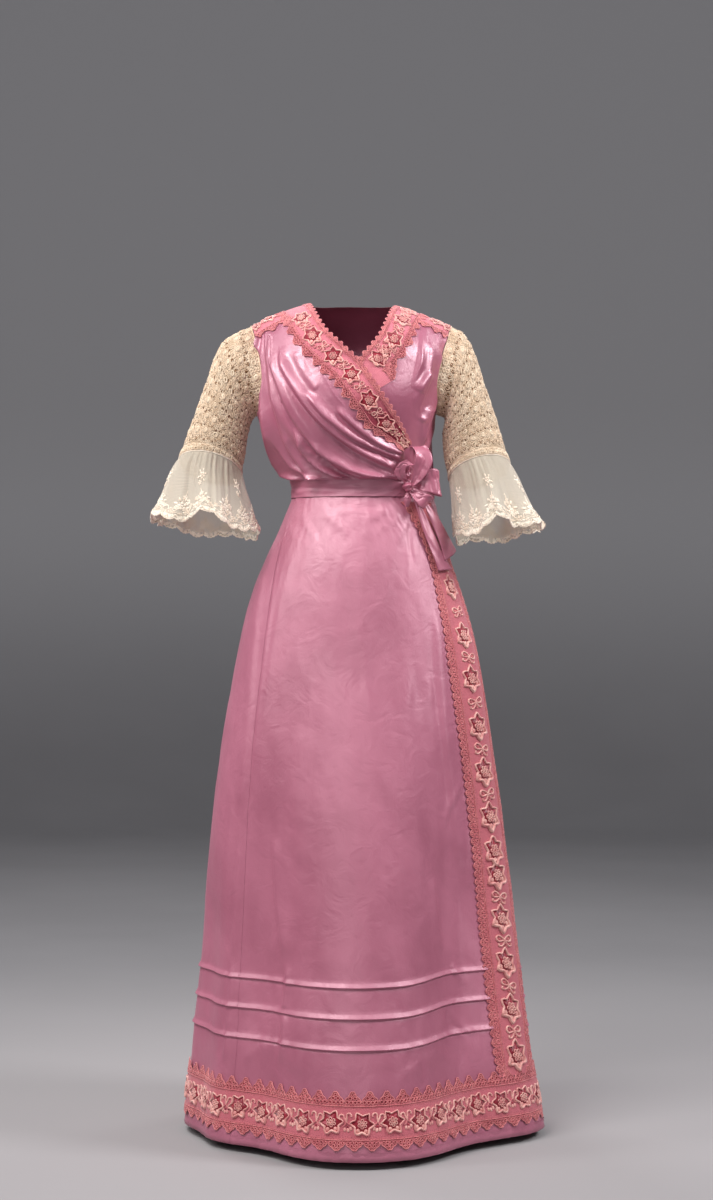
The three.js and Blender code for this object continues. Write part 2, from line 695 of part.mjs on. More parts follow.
const BACK_NECK_DROP = 15;
const BACK_NECK_SHARE = 0.31; // of the back's width, between the shoulder seams
const BACK_FOLDS = 9;
const back = (() => {
  const [left, right] = [sideEdge(-1, -1), sideEdge(1, -1)];
  // Angles run on past 90, round the back to 270.
  const wrap = (place) => ({ angle: place.angle < 0 ? place.angle + 360 : place.angle, down: place.down });
  const top = (s) => {
    const across = Math.abs(s - 0.5) * 2;
    const down = BACK_NECK_DROP * smooth((BACK_NECK_SHARE - across) * 6);
    return { angle: lerp(90, 270, s), down: Math.max(0.01, down) };
  };
  const bottom = (s) => {
    const angle = lerp(90, 270, s);
    return { angle, down: downAtAngle(angle, BODICE_BOTTOM, false) };
  };
  const places = patch((t) => wrap(right(t)), (t) => wrap(left(t)), top, bottom);
  const lift = (s, t) => {
    const held = smooth((t - 0.3) / 0.3) * smooth((1 - t) / 0.1) * smooth(s * 6) * smooth((1 - s) * 6);
    return 2.5 * Math.sin(s * BACK_FOLDS * Math.PI) ** 2 * held;
  };
  return panel(places, lift, 18, 8, 1);
})();

// ---------- lace on the bodice ----------
// A band on a surface that is given by a length along and a distance across.
function bodiceBand(surface, { length, cells, near, far, out = 1.2, size = 0.66, hasStar = () => true }) {
  const notch = (n) => (n % 2 ? NECK_BAND.scallop : 0);
  return starBand({
    surface,
    starts: { at: range(cells + 1, (k) => (k / cells) * length), closed: false },
    middle: (near + far) / 2,
    steps: NECK_BAND.steps,
    nearEdge: (n) => near + notch(n),
    farEdge: (n) => far - notch(n),
    out: () => out + BAND.cloth,
    size,
    hasStar,
  });
}

// The wearer's right band follows the free edge of the right front, from the knot up to the shoulder.
const RIGHT_BAND = { length: 294, cells: 6, near: -NECK_BAND.inner, far: NECK_BAND.outer - 2 };
const neckLaceRight = () =>
  bodiceBand((along, away) => {
    const t = lerp(0.97, 0.02, along / RIGHT_BAND.length);
    return frontRight.point(1 - frontRight.shareIn(1, t, away), t);
  }, RIGHT_BAND);

// The other band runs from the shoulder down to where the right front crosses it, and its end slants to
// suit.
const LEFT_BAND = {
  length: 160,
  cells: 4,
  near: -NECK_BAND.inner,
  far: NECK_BAND.outer - 2,
  out: 2.3,
  hasStar: (c) => c < 3,
};
const neckLaceLeft = () =>
  bodiceBand((along, away) => {
    const t = 0.02 + (along / LEFT_BAND.length) * (0.46 + 0.0024 * away);
    return frontLeft.point(frontLeft.shareIn(0, t, away), t);
  }, LEFT_BAND);

// A strip along each shoulder seam, from the neck band to the armhole, and one across the back.
const SHOULDER_STRIP = { deep: 30, fall: 300, edge: 0.012, clear: 4 };
function shoulderLace(front, fromArmhole) {
  const width = front.width(0.05);
  const length = width - NECK_BAND.outer - SHOULDER_STRIP.clear * 2;
  const start = fromArmhole ? SHOULDER_STRIP.clear : width - SHOULDER_STRIP.clear - length;
  const surface = (along, across) => {
    const t = SHOULDER_STRIP.edge + (SHOULDER_STRIP.deep - across) / SHOULDER_STRIP.fall;
    return front.point((start + along) / width, t);
  };
  return bodiceBand(surface, { length, cells: 1, near: 0, far: SHOULDER_STRIP.deep, size: 0.6 });
}
const BACK_BAND = { deep: 46, cells: 7, clear: 6 };
function neckLaceBack() {
  const width = back.width(0.08);
  const surface = (along, across) => {
    const t = SHOULDER_STRIP.edge + (BACK_BAND.deep - across) / SHOULDER_STRIP.fall;
    return back.point((BACK_BAND.clear + along) / width, t);
  };
  const length = width - BACK_BAND.clear * 2;
  return bodiceBand(surface, { length, cells: BACK_BAND.cells, near: 0, far: BACK_BAND.deep, out: 2.8 });
}

// ---------- sleeves ----------
// Rings down the arm: the outermost and innermost point across and up, half the depth, how far forward the
// ring's middle lies, and how much higher its front is.
const SLEEVE_RINGS = {
  right: [
    { ring: 0, outX: 179, outH: 1348, inX: 163, inH: 1204, depth: 51, forward: 0, tilt: 0 },
    { ring: 1, outX: 199, outH: 1343, inX: 173, inH: 1199, depth: 55, forward: 1, tilt: 0 },
    { ring: 2, outX: 225, outH: 1325, inX: 179, inH: 1190, depth: 57, forward: 2, tilt: 2 },
    { ring: 3, outX: 241, outH: 1296, inX: 183, inH: 1177, depth: 57, forward: 4, tilt: 5 },
    { ring: 4, outX: 253, outH: 1260, inX: 186, inH: 1163, depth: 56, forward: 6, tilt: 9 },
    { ring: 5, outX: 265, outH: 1225, inX: 188, inH: 1148, depth: 55, forward: 9, tilt: 13 },
    { ring: 6, outX: 277, outH: 1190, inX: 190, inH: 1133, depth: 54, forward: 12, tilt: 17 },
    { ring: 7, outX: 289, outH: 1155, inX: 193, inH: 1117, depth: 53, forward: 16, tilt: 21 },
    { ring: 8, outX: 300, outH: 1121, inX: 195, inH: 1101, depth: 53, forward: 20, tilt: 25 },
  ],
  left: [
    { ring: 0, outX: 163, outH: 1350, inX: 147, inH: 1204, depth: 51, forward: 0, tilt: 0 },
    { ring: 1, outX: 181, outH: 1341, inX: 151, inH: 1197, depth: 55, forward: 1, tilt: 0 },
    { ring: 2, outX: 197, outH: 1314, inX: 150, inH: 1186, depth: 57, forward: 3, tilt: 2 },
    { ring: 3, outX: 208, outH: 1281, inX: 147, inH: 1172, depth: 57, forward: 6, tilt: 5 },
    { ring: 4, outX: 218, outH: 1249, inX: 147, inH: 1157, depth: 56, forward: 9, tilt: 9 },
    { ring: 5, outX: 229, outH: 1215, inX: 148, inH: 1142, depth: 55, forward: 12, tilt: 13 },
    { ring: 6, outX: 239, outH: 1182, inX: 150, inH: 1127, depth: 54, forward: 15, tilt: 17 },
    { ring: 7, outX: 249, outH: 1147, inX: 153, inH: 1110, depth: 53, forward: 19, tilt: 21 },
    { ring: 8, outX: 259, outH: 1114, inX: 157, inH: 1094, depth: 53, forward: 23, tilt: 25 },
  ],
};
const FLOUNCE_RINGS = {
  right: [
    { ring: 0, outX: 300, outH: 1121, inX: 195, inH: 1101, depth: 53, forward: 20, tilt: 25 },
    { ring: 1, outX: 316, outH: 1093, inX: 188, inH: 1073, depth: 62, forward: 24, tilt: 24 },
    { ring: 2, outX: 328, outH: 1062, inX: 178, inH: 1045, depth: 72, forward: 27, tilt: 22 },
    { ring: 3, outX: 338, outH: 1038, inX: 171, inH: 1022, depth: 80, forward: 29, tilt: 20 },
    { ring: 4, outX: 346, outH: 1016, inX: 165, inH: 998, depth: 86, forward: 30, tilt: 18 },
  ],
  left: [
    { ring: 0, outX: 259, outH: 1114, inX: 157, inH: 1094, depth: 53, forward: 23, tilt: 25 },
    { ring: 1, outX: 276, outH: 1084, inX: 160, inH: 1066, depth: 61, forward: 28, tilt: 24 },
    { ring: 2, outX: 290, outH: 1054, inX: 163, inH: 1038, depth: 69, forward: 32, tilt: 22 },
    { ring: 3, outX: 303, outH: 1028, inX: 165, inH: 1014, depth: 76, forward: 35, tilt: 20 },
    { ring: 4, outX: 314, outH: 1004, inX: 166, inH: 990, depth: 81, forward: 37, tilt: 18 },
  ],
};

// A point on a ring: turn 0 is the outermost point, 90 the front, 180 the innermost and 270 the back.
function ringPoint(tables, side, ring, turn, swell = 0) {
  const rings = tables[side < 0 ? "right" : "left"];
  const get = (name) => column(rings, "ring", name, ring);
  const out = new THREE.Vector3(side * get("outX"), 0, get("outH"));
  const inner = new THREE.Vector3(side * get("inX"), 0, get("inH"));
  const middle = out.clone().add(inner).multiplyScalar(0.5);
  const reach = out.sub(middle);
  const across = reach.length();
  reach.multiplyScalar((across + swell) / across);
  const [c, s] = [Math.cos(rad(turn)), Math.sin(rad(turn))];
  const point = middle.addScaledVector(reach, c);
  point.y = -get("forward") - (get("depth") + swell) * s;
  point.z += get("tilt") * s;
  return point;
}

// The armhole's edge, where the sleeve is sewn on, by the same turn.
function armholePoint(side, turn) {
  const { angle, height } = armholePlace(side, turn);
  const front = Math.sin(rad(turn)) >= 0;
  const down = Math.max(0.01, downAtAngle(angle, height, front));
  const p = torsoPoint(angle, down);
  p.x += side * ARMHOLE.clear;
  p.y += (front ? -1 : 1) * SHOULDER_GAP;
  return p;
}

function sleevePoint(side, ring, turn) {
  if (ring >= 1) return ringPoint(SLEEVE_RINGS, side, ring, turn);
  return armholePoint(side, turn).lerp(ringPoint(SLEEVE_RINGS, side, 1, turn), ring);
}

// A wall over a grid of cells, each with a four-sided hole cut through it.
function cutWall(pointAt, across, up, hole) {
  const samples = [];
  for (let j = 0; j <= up; j++) for (let i = 0; i <= across; i++) samples.push([i, j]);
  const corner = (i, j) => j * (across + 1) + i;
  const holes = [];
  for (let j = 0; j < up; j++)
    for (let i = 0; i < across; i++) {
      holes.push(samples.length);
      const [x, y] = [i + 0.5, j + 0.5];
      samples.push([x, y - hole.up], [x + hole.across, y], [x, y + hole.up], [x - hole.across, y]);
    }
  const outer = samples.map(([i, j]) => pointAt(i / across, j / up));
  const inner = samples.map(([i, j], k) => {
    const e = 0.01;
    const [u, v] = [clamp(i / across, e, 1 - e), clamp(j / up, e, 1 - e)];
    const a = pointAt(u + e, v).sub(pointAt(u - e, v));
    const b = pointAt(u, v + e).sub(pointAt(u, v - e));
    return outer[k].clone().addScaledVector(a.cross(b).normalize(), -CLOTH);
  });
  const n = samples.length;
  const faces = [];
  const both = (a, b, c) => faces.push([a, b, c], [a + n, c + n, b + n]);
  const side = (a, b) => faces.push([b, a, a + n], [b, a + n, b + n]);
  for (let j = 0; j < up; j++)
    for (let i = 0; i < across; i++) {
      const h = holes[j * across + i];
      const corners = [corner(i, j), corner(i + 1, j), corner(i + 1, j + 1), corner(i, j + 1)];
      for (let k = 0; k < 4; k++) {
        const next = (k + 1) % 4;
        both(corners[k], corners[next], h + k);
        both(corners[next], h + next, h + k);
        side(h + next, h + k);
      }
    }
  for (let i = 0; i < across; i++) {
    side(corner(i, 0), corner(i + 1, 0));
    side(corner(i + 1, up), corner(i, up));
  }
  for (let j = 0; j < up; j++) {
    side(corner(across, j), corner(across, j + 1));
    side(corner(0, j + 1), corner(0, j));
  }
  return solidFrom([...outer, ...inner], faces);
}

const SLEEVE_CELLS = { across: 6, up: 7 };
const LACE_HOLE = { across: 0.15, up: 0.15 };
const SEAM_TURN = 0.4; // degrees each half of a sleeve stops short of the other
const CUFF_END = 7.993;
function sleeveHalf(side, part) {
  const [from, to] = part === "front" ? [SEAM_TURN, 180 - SEAM_TURN] : [180 + SEAM_TURN, 360 - SEAM_TURN];
  // Turns run the other way round on the wearer's left, so that the outer face looks out on both sleeves.
  const pointAt = (u, v) => {
    const turn = side < 0 ? lerp(from, to, u) : lerp(to, from, u);
    return sleevePoint(side, lerp(CUFF_END, 0, v), turn);
  };
  return cutWall(pointAt, SLEEVE_CELLS.across, SLEEVE_CELLS.up, LACE_HOLE);
}

const FLOUNCE = { columns: 40, waves: 10, wave: 6, scallop: 4 };
function flounce(side) {
  const grid = range(4, (j) => {
    const ring = lerp(4, 0.008, j / 3);
    return range(FLOUNCE.columns, (i) => {
      const turn = (i / FLOUNCE.columns) * 360 * (side < 0 ? 1 : -1);
      const fullness = 0.65 + 0.35 * Math.cos(rad(turn)); // it lies flatter towards the body
      const wave = FLOUNCE.wave * (ring / 4) * fullness * Math.cos(rad(turn * FLOUNCE.waves));
      const point = ringPoint(FLOUNCE_RINGS, side, ring, turn, wave);
      if (j === 0) point.z += i % 2 ? FLOUNCE.scallop : 0;
      return point;
    });
  });
  return cloth(grid, { closed: true, thick: 1 });
}

// ---------- bow ----------
// The bow is of satin ribbon folded by hand. Each row of a piece gives the middle of the ribbon across and
// up and how far forward it is, half its width, and the direction across it, in degrees from level and
// turned to the front.
const RIBBON = 1.4;
function ribbon(path) {
  const grid = path.map((row) => {
    const middle = new THREE.Vector3(row.x, -row.front, row.height);
    const lean = rad(row.lean);
    const across = new THREE.Vector3(Math.cos(lean), -(row.turn ?? 0), Math.sin(lean)).normalize();
    return [-1, 0, 1].map((k) => {
      const p = middle.clone().addScaledVector(across, k * row.half);
      return p.add(new THREE.Vector3(0, k === 0 ? -(row.crown ?? 2) : 0, 0));
    });
  });
  return cloth(grid, { thick: RIBBON });
}

const KNOT = { x: 86, front: 96.1, height: 1077, wide: 9, deep: 15, tall: 11 };
function bowKnot() {
  const lump = new THREE.SphereGeometry(1, 12, 8);
  lump.deleteAttribute("normal");
  lump.deleteAttribute("uv");
  lump.scale(KNOT.wide, KNOT.deep, KNOT.tall).translate(KNOT.x, -KNOT.front, KNOT.height);
  return mergeVertices(lump, 1e-3);
}

// A loop goes out in front, turns at its tip and comes back behind.
const BOW_PARTS = {
  bow_loop_top: [
    { x: 90.3, front: 107.6, height: 1080.2, half: 4, lean: 120 },
    { x: 104, front: 116, height: 1100, half: 13, lean: 135 },
    { x: 112, front: 118, height: 1122, half: 16, lean: 160 },
    { x: 106, front: 113, height: 1138, half: 15, lean: 175 },
    { x: 101, front: 106, height: 1139, half: 11, lean: 185 },
    { x: 97, front: 100, height: 1122, half: 8, lean: 180 },
    { x: 92, front: 99.5, height: 1102, half: 6, lean: 170 },
  ],
  bow_loop_right: [
    { x: 95.4, front: 99, height: 1077, half: 4, lean: 90 },
    { x: 110, front: 110, height: 1080, half: 13, lean: 92 },
    { x: 126, front: 108, height: 1080, half: 20, lean: 92 },
    { x: 138, front: 98, height: 1078, half: 19, lean: 92 },
    { x: 133, front: 86, height: 1078, half: 16, lean: 92 },
    { x: 118, front: 84, height: 1078, half: 10, lean: 92 },
  ],
  bow_loop_low: [
    { x: 91, front: 103.2, height: 1069.2, half: 3, lean: 30 },
    { x: 104, front: 110, height: 1058, half: 10, lean: 40 },
    { x: 116, front: 110, height: 1050, half: 13, lean: 45 },
    { x: 120, front: 101, height: 1048, half: 13, lean: 45 },
  ],
  bow_loop_left: [
    { x: 81, front: 107.6, height: 1083.6, half: 3.5, lean: 180 },
    { x: 74, front: 117, height: 1098, half: 8, lean: 200 },
    { x: 79, front: 123, height: 1111, half: 8, lean: 170 },
    { x: 91, front: 121, height: 1113, half: 7, lean: 140 },
  ],
  bow_tail_short: [
    { x: 84, front: 97, height: 1042, half: 3, lean: 0, crown: 1 },
    { x: 84.5, front: 100, height: 1055, half: 5.5, lean: 0 },
    { x: 85.5, front: 98, height: 1066, half: 2, lean: 0 },
  ],
};

// The two tails hang in front of the skirt: each row gives the angle round it, the height of the tail's
// middle, how far it stands off, half its width, and how much lower its right edge is than its left.
const BOW_TAILS = {
  bow_tail_left: [
    { across: 146, height: 938, off: 10, half: 12, drop: 0 },
    { across: 136, height: 958, off: 11, half: 11, drop: 6 },
    { across: 121, height: 992, off: 12, half: 10, drop: 7 },
    { across: 108, height: 1024, off: 13, half: 8.5, drop: 8 },
    { across: 89.4, height: 1067.6, off: 24, half: 2.5, drop: 2 },
  ],
  bow_tail_right: [
    { across: 158, height: 962, off: 14, half: 12, drop: -20 },
    { across: 150, height: 980, off: 15, half: 14, drop: 6 },
    { across: 136, height: 1008, off: 16, half: 12, drop: 9 },
    { across: 121, height: 1036, off: 17, half: 9, drop: 9 },
    { across: 104, height: 1060, off: 14.9, half: 4, drop: 6 },
  ],
};
function bowTail(rows) {
  const grid = rows.map((row) =>
    [-1, 0, 1].map((k) => {
      const height = row.height - (k * row.drop) / 2;
      const middle = section("middle", height);
      const share = (row.across + k * row.half - middle) / (section("half", height) + row.off);
      const angle = deg(Math.asin(clamp(share, -0.985, 0.985)));
      const p = skirtRing(angle, height);
      const round = p.clone().sub(new THREE.Vector3(middle, 0, height));
      return p.addScaledVector(round.normalize(), row.off + (k === 0 ? 2 : 0));
    }),
  );
  return cloth(grid, { thick: RIBBON });
}

// ---------- the dress ----------
const fabric = (name, color, roughness) => {
  const material = new THREE.MeshStandardMaterial({ color, roughness, metalness: 0 });
  material.name = name;
  return material;
};
const SATIN = fabric("satin", 0xc4708f, 0.35);
const PINK_LACE = fabric("pink_lace", 0xc9626f, 0.75);
const CROCHET = fabric("crochet", 0xd9c4a0, 0.85);
const NET = fabric("net", 0xdccfb8, 0.8);

const dress = new THREE.Group();
dress.position.z = -ORIGIN_HEIGHT;
function add(name, geometry, material) {
  const mesh = new THREE.Mesh(geometry, material);
  mesh.name = name;
  dress.add(mesh);
}

add("skirt_front", skirtFront(), SATIN);
add("skirt_back", skirtBack(), SATIN);
add("hem_lace", hemBand(), PINK_LACE);
add("front_lace", frontBand(), PINK_LACE);
add("waistband", waistband(), SATIN);
add("bodice_front_right", cloth(frontRight.grid), SATIN);
add("bodice_front_left", cloth(frontLeft.grid), SATIN);
add("bodice_back", cloth(back.grid), SATIN);
add("neck_lace_right", neckLaceRight(), PINK_LACE);
add("neck_lace_left", neckLaceLeft(), PINK_LACE);
add("neck_lace_back", neckLaceBack(), PINK_LACE);
add("shoulder_lace_right", shoulderLace(frontRight, true), PINK_LACE);
add("shoulder_lace_left", shoulderLace(frontLeft, false), PINK_LACE);
for (const [label, side] of [["right", -1], ["left", 1]]) {
  add(`sleeve_${label}_front`, sleeveHalf(side, "front"), CROCHET);
  add(`sleeve_${label}_back`, sleeveHalf(side, "back"), CROCHET);
  add(`flounce_${label}`, flounce(side), NET);
}
add("bow_knot", bowKnot(), SATIN);
for (const [name, path] of Object.entries(BOW_PARTS)) add(name, ribbon(path), SATIN);
for (const [name, rows] of Object.entries(BOW_TAILS)) add(name, bowTail(rows), SATIN);

export default dress;
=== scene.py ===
"""An Edwardian silk satin day dress with lace bands, crochet sleeves and a bow, in a grey studio."""

import math

import bpy
import numpy as np
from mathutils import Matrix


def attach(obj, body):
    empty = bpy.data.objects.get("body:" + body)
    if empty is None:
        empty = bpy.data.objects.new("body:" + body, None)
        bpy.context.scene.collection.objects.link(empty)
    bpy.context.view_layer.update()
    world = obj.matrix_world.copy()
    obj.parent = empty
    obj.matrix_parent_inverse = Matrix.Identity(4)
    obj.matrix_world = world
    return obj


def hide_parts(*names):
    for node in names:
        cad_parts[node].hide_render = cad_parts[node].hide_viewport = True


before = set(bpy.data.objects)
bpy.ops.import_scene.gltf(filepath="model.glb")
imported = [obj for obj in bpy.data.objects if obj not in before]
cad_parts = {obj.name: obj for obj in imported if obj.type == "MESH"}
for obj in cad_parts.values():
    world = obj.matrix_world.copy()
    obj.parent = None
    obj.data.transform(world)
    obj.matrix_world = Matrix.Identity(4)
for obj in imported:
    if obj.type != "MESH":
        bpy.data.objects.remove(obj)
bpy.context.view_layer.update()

# ---------------------------------------------------------------- sizes, in mm above the hem
ORIGIN_HEIGHT = 1370.0
FLOOR_DROP = 13.0
CAMERA_DISTANCE = 4200.0
CAMERA_HEIGHT = 887.0
LENS = 74.1
SKIRT_TOP = 1061.0
HEM_RULED = 150.0
# The grid that creases are placed on: mm of the dress to one step, and the place of its middle.
GRID_STEP = 1.70
GRID_MIDDLE = (356.5, 600)

# height, middle, half width, depth to the front, depth to the back, power of the superellipse
SECTIONS = [
    (0, 8, 312, 313, 335, 2), (150, 3, 292, 288, 312, 2), (275, 1.5, 275.5, 260, 288, 2),
    (480, -2, 250, 222, 250, 2), (680, -2, 221, 186, 214, 2), (820, -0.5, 196.5, 160, 190, 2),
    (890, -1, 179, 148, 176, 2), (955, 2.5, 157.5, 133, 158, 2.05), (1023, 8.5, 132.5, 112, 130, 2.1),
    (1075, 10, 118, 96, 104, 2.15), (1125, -1, 129, 112, 98, 2.2), (1176, -12, 141, 132, 99, 2.3),
    (1227, -13, 150, 142, 98, 2.3), (1290, -10, 162, 128, 99, 2.3), (1330, -9, 168, 120, 97, 2.3),
    (1400, -9, 168, 116, 94, 2.3),
]
# angle round from the front, spread in degrees, depth at the hem, height where it dies out
SKIRT_FOLDS = [
    (46, 19, 62, 800), (-40, 15, 50, 700), (-74, 9, 26, 560), (110, 12, 30, 700),
    (146, 11, 36, 860), (180, 10, 34, 900), (214, 11, 36, 860), (248, 12, 30, 740),
]
WRAP_EDGE = [(0, 266), (125, 257), (272, 241), (424, 226), (597, 205), (753, 183), (830, 171), (911, 153),
             (978, 133), (1027, 112), (1070, 90)]
GORE_SEAM = [(0, -204), (130, -197), (260, -191), (427, -184), (587, -176), (713, -165), (856, -148),
             (928, -138), (1011, -118), (1070, -98)]
TUCKS = (170.0, 218.0, 266.0)
STAR_TIP = 20.5
rng = np.random.default_rng(7)


# ---------------------------------------------------------------- curves and noise
def spline(xs, ys):
    """A smooth curve through points, flat beyond its ends."""
    xs, ys = np.asarray(xs, float), np.asarray(ys, float)
    slope = np.empty_like(ys)
    slope[1:-1] = (ys[2:] - ys[:-2]) / (xs[2:] - xs[:-2])
    slope[0] = (ys[1] - ys[0]) / (xs[1] - xs[0])
    slope[-1] = (ys[-1] - ys[-2]) / (xs[-1] - xs[-2])

    def at(x):
        x = np.clip(x, xs[0], xs[-1])
        i = np.clip(np.searchsorted(xs, x, side="right") - 1, 0, len(xs) - 2)
        span = xs[i + 1] - xs[i]
        t = (x - xs[i]) / span
        low = ys[i] * (1 + 2 * t) * (1 - t) ** 2 + slope[i] * span * t * (1 - t) ** 2
        high = ys[i + 1] * t * t * (3 - 2 * t) + slope[i + 1] * span * t * t * (t - 1)
        return low + high

    return at


def smooth(t):
    t = np.clip(t, 0, 1)
    return t * t * (3 - 2 * t)


def lerp(a, b, t):
    return a + (b - a) * t


def noise(x, y, seed=0):
    """Smooth noise about -1 to 1, one bump to a unit."""
    x, y = np.broadcast_arrays(np.asarray(x, float), np.asarray(y, float))
    xi, yi = np.floor(x), np.floor(y)
    fx, fy = smooth(x - xi), smooth(y - yi)

    def corner(i, j):
        v = np.sin(i * 127.1 + j * 311.7 + seed * 74.7) * 43758.5453
        return (v - np.floor(v)) * 2 - 1

    low = lerp(corner(xi, yi), corner(xi + 1, yi), fx)
    high = lerp(corner(xi, yi + 1), corner(xi + 1, yi + 1), fx)
    return lerp(low, high, fy)


def crumple(a, b, size, seed):
    """Uneven creases of silk: ridged noise in two leaning directions."""
    warp = 0.7 * noise(a / size / 1.7, b / size / 1.7, seed + 5)
    first = noise(a / size + warp, b / size / 2.2 + warp, seed)
    second = noise((a + b * 0.6) / size / 1.3, (b - a * 0.6) / size / 2.6 + warp, seed + 9)
    return 0.55 * first + 0.45 * (0.6 - np.abs(second) * 1.4)


SECTION = {name: spline([r[0] for r in SECTIONS], [r[k + 1] for r in SECTIONS])
           for k, name in enumerate(("middle", "half", "front", "back", "power"))}


def signed_power(v, p):
    return np.sign(v) * np.abs(v) ** p


# ---------------------------------------------------------------- the skirt's surface
def fold_depth(angle, height):
    total = 0
    for at, spread, depth, top in SKIRT_FOLDS:
        away = (angle - at + 540) % 360 - 180
        total = total + depth * smooth((top - height) / (top - 180)) * np.exp(-0.5 * (away / spread) ** 2)
    return total


def plain_ring(angle, height, out=0.0):
    """A point of the skirt, with the angle round it and the height; `out` moves it away from the middle."""
    angle, height = np.broadcast_arrays(np.asarray(angle, float), np.asarray(height, float))
    s, c = np.sin(np.radians(angle)), np.cos(np.radians(angle))
    power = 2 / SECTION["power"](height)
    x = SECTION["half"](height) * signed_power(s, power)
    y = -np.where(c > 0, SECTION["front"](height), SECTION["back"](height)) * signed_power(c, power)
    radius = np.hypot(x, y)
    share = (radius - fold_depth(angle, height) + out) / radius
    return np.stack([x * share + SECTION["middle"](height), y * share, height], -1)


def base_skirt(angle, height):
    """The skirt without creases; below the lowest tuck it is ruled from its hem."""
    ruled = np.clip(height / HEM_RULED, 0, 1)[..., None]
    low = plain_ring(angle, np.zeros_like(height))
    up = plain_ring(angle, np.maximum(height, HEM_RULED))
    return np.where(height[..., None] < HEM_RULED, low * (1 - ruled) + up * ruled, up)


def angle_at(table):
    """The angle of a line on the skirt that is given by how far across it lies at each height."""
    across = spline([r[0] for r in table], [r[1] for r in table])
    angles = np.linspace(-88, 88, 353)
    heights = np.linspace(0, 1070, 108)
    found = []
    for h in heights:
        x = base_skirt(angles, np.full_like(angles, max(h, HEM_RULED)))[:, 0]
        order = np.maximum.accumulate(x) + np.arange(len(x)) * 1e-6
        found.append(np.interp(across(max(h, HEM_RULED)), order, angles))
    return lambda h: np.interp(h, heights, found)


wrap_angle = angle_at(WRAP_EDGE)
seam_angle = angle_at(GORE_SEAM)

def seen(points, depth):
    """Places across and up, in mm, of points of the grid seen from the camera, at a depth to the front."""
    step = GRID_STEP * (CAMERA_DISTANCE - depth) / CAMERA_DISTANCE
    return np.array([((x - GRID_MIDDLE[0]) * step, CAMERA_HEIGHT + (GRID_MIDDLE[1] - y) * step)
                     for x, y in points])


def lengths_along(line):
    """How far along a line each of its points lies."""
    return np.concatenate([[0], np.cumsum(np.linalg.norm(np.diff(line, axis=0), axis=1))])


def along_line(x, h, line):
    """How far along a line through points (0..1) and to which side of it, in mm, each place is."""
    best, side, share = np.full(x.shape, 1e9), np.zeros(x.shape), np.zeros(x.shape)
    lengths = np.hypot(*(line[1:] - line[:-1]).T)
    starts = np.concatenate([[0], np.cumsum(lengths)])
    for k, (a, b) in enumerate(zip(line[:-1], line[1:])):
        d = b - a
        t = np.clip(((x - a[0]) * d[0] + (h - a[1]) * d[1]) / (d @ d), 0, 1)
        dx, dy = x - a[0] - d[0] * t, h - a[1] - d[1] * t
        away = np.hypot(dx, dy)
        turn = np.sign(d[0] * dy - d[1] * dx)
        closer = away < best
        best = np.where(closer, away, best)
        side = np.where(closer, away * turn, side)
        share = np.where(closer, (starts[k] + t * lengths[k]) / starts[-1], share)
    return share, side


def rounded_line(points, count=40):
    points = np.asarray(points, float)
    keys = np.arange(len(points))
    fine = np.linspace(0, len(points) - 1, count)
    return np.stack([spline(keys, points[:, 0])(fine), spline(keys, points[:, 1])(fine)], -1)


def creases(x, h, table, depth):
    """The height that folds along lines add. Each row: points, rise, width on the left of the line
    as it runs, width on its right, and the dip beside its sharp side."""
    total = np.zeros(x.shape)
    for points, rise, left, right, dip in table:
        line = rounded_line(seen(points, depth))
        share, side = along_line(x, h, line)
        ends = smooth(share / 0.14) * smooth((1 - share) / 0.1)
        away = np.where(side > 0, side / left, side / right)
        total = total + rise * np.exp(-away ** 2) * ends
        sharp, sign = (left, 1) if left < right else (right, -1)
        total = total - dip * np.exp(-((side * sign - 1.7 * sharp) / (1.2 * sharp)) ** 2) * ends
    return total


def ridges(x, y, seed):
    """Sharp-topped folds about one unit apart, from 0 to 1."""
    return np.clip(1 - np.abs(noise(x, y, seed)) * 2.2, 0, 1) ** 1.5


def fan(x, h, centre, turns, reach, seed):
    """Pulled folds that spread from a gathered point and die away."""
    dx, dh = x - centre[0], h - centre[1]
    r = np.hypot(dx, dh)
    a = np.arctan2(dh, -dx)
    return ridges(a * turns, r / 70 + 3, seed) * np.exp(-r / reach) * smooth(r / 14)


def between(x, h, first, second, depth):
    """How far each place lies from one line (0) to another (1), and how far along the first."""
    share, a = along_line(x, h, rounded_line(seen(first, depth)))
    _, b = along_line(x, h, rounded_line(seen(second, depth)))
    across = a / np.where(np.abs(a - b) < 1e-6, 1e-6, a - b)
    return across, share


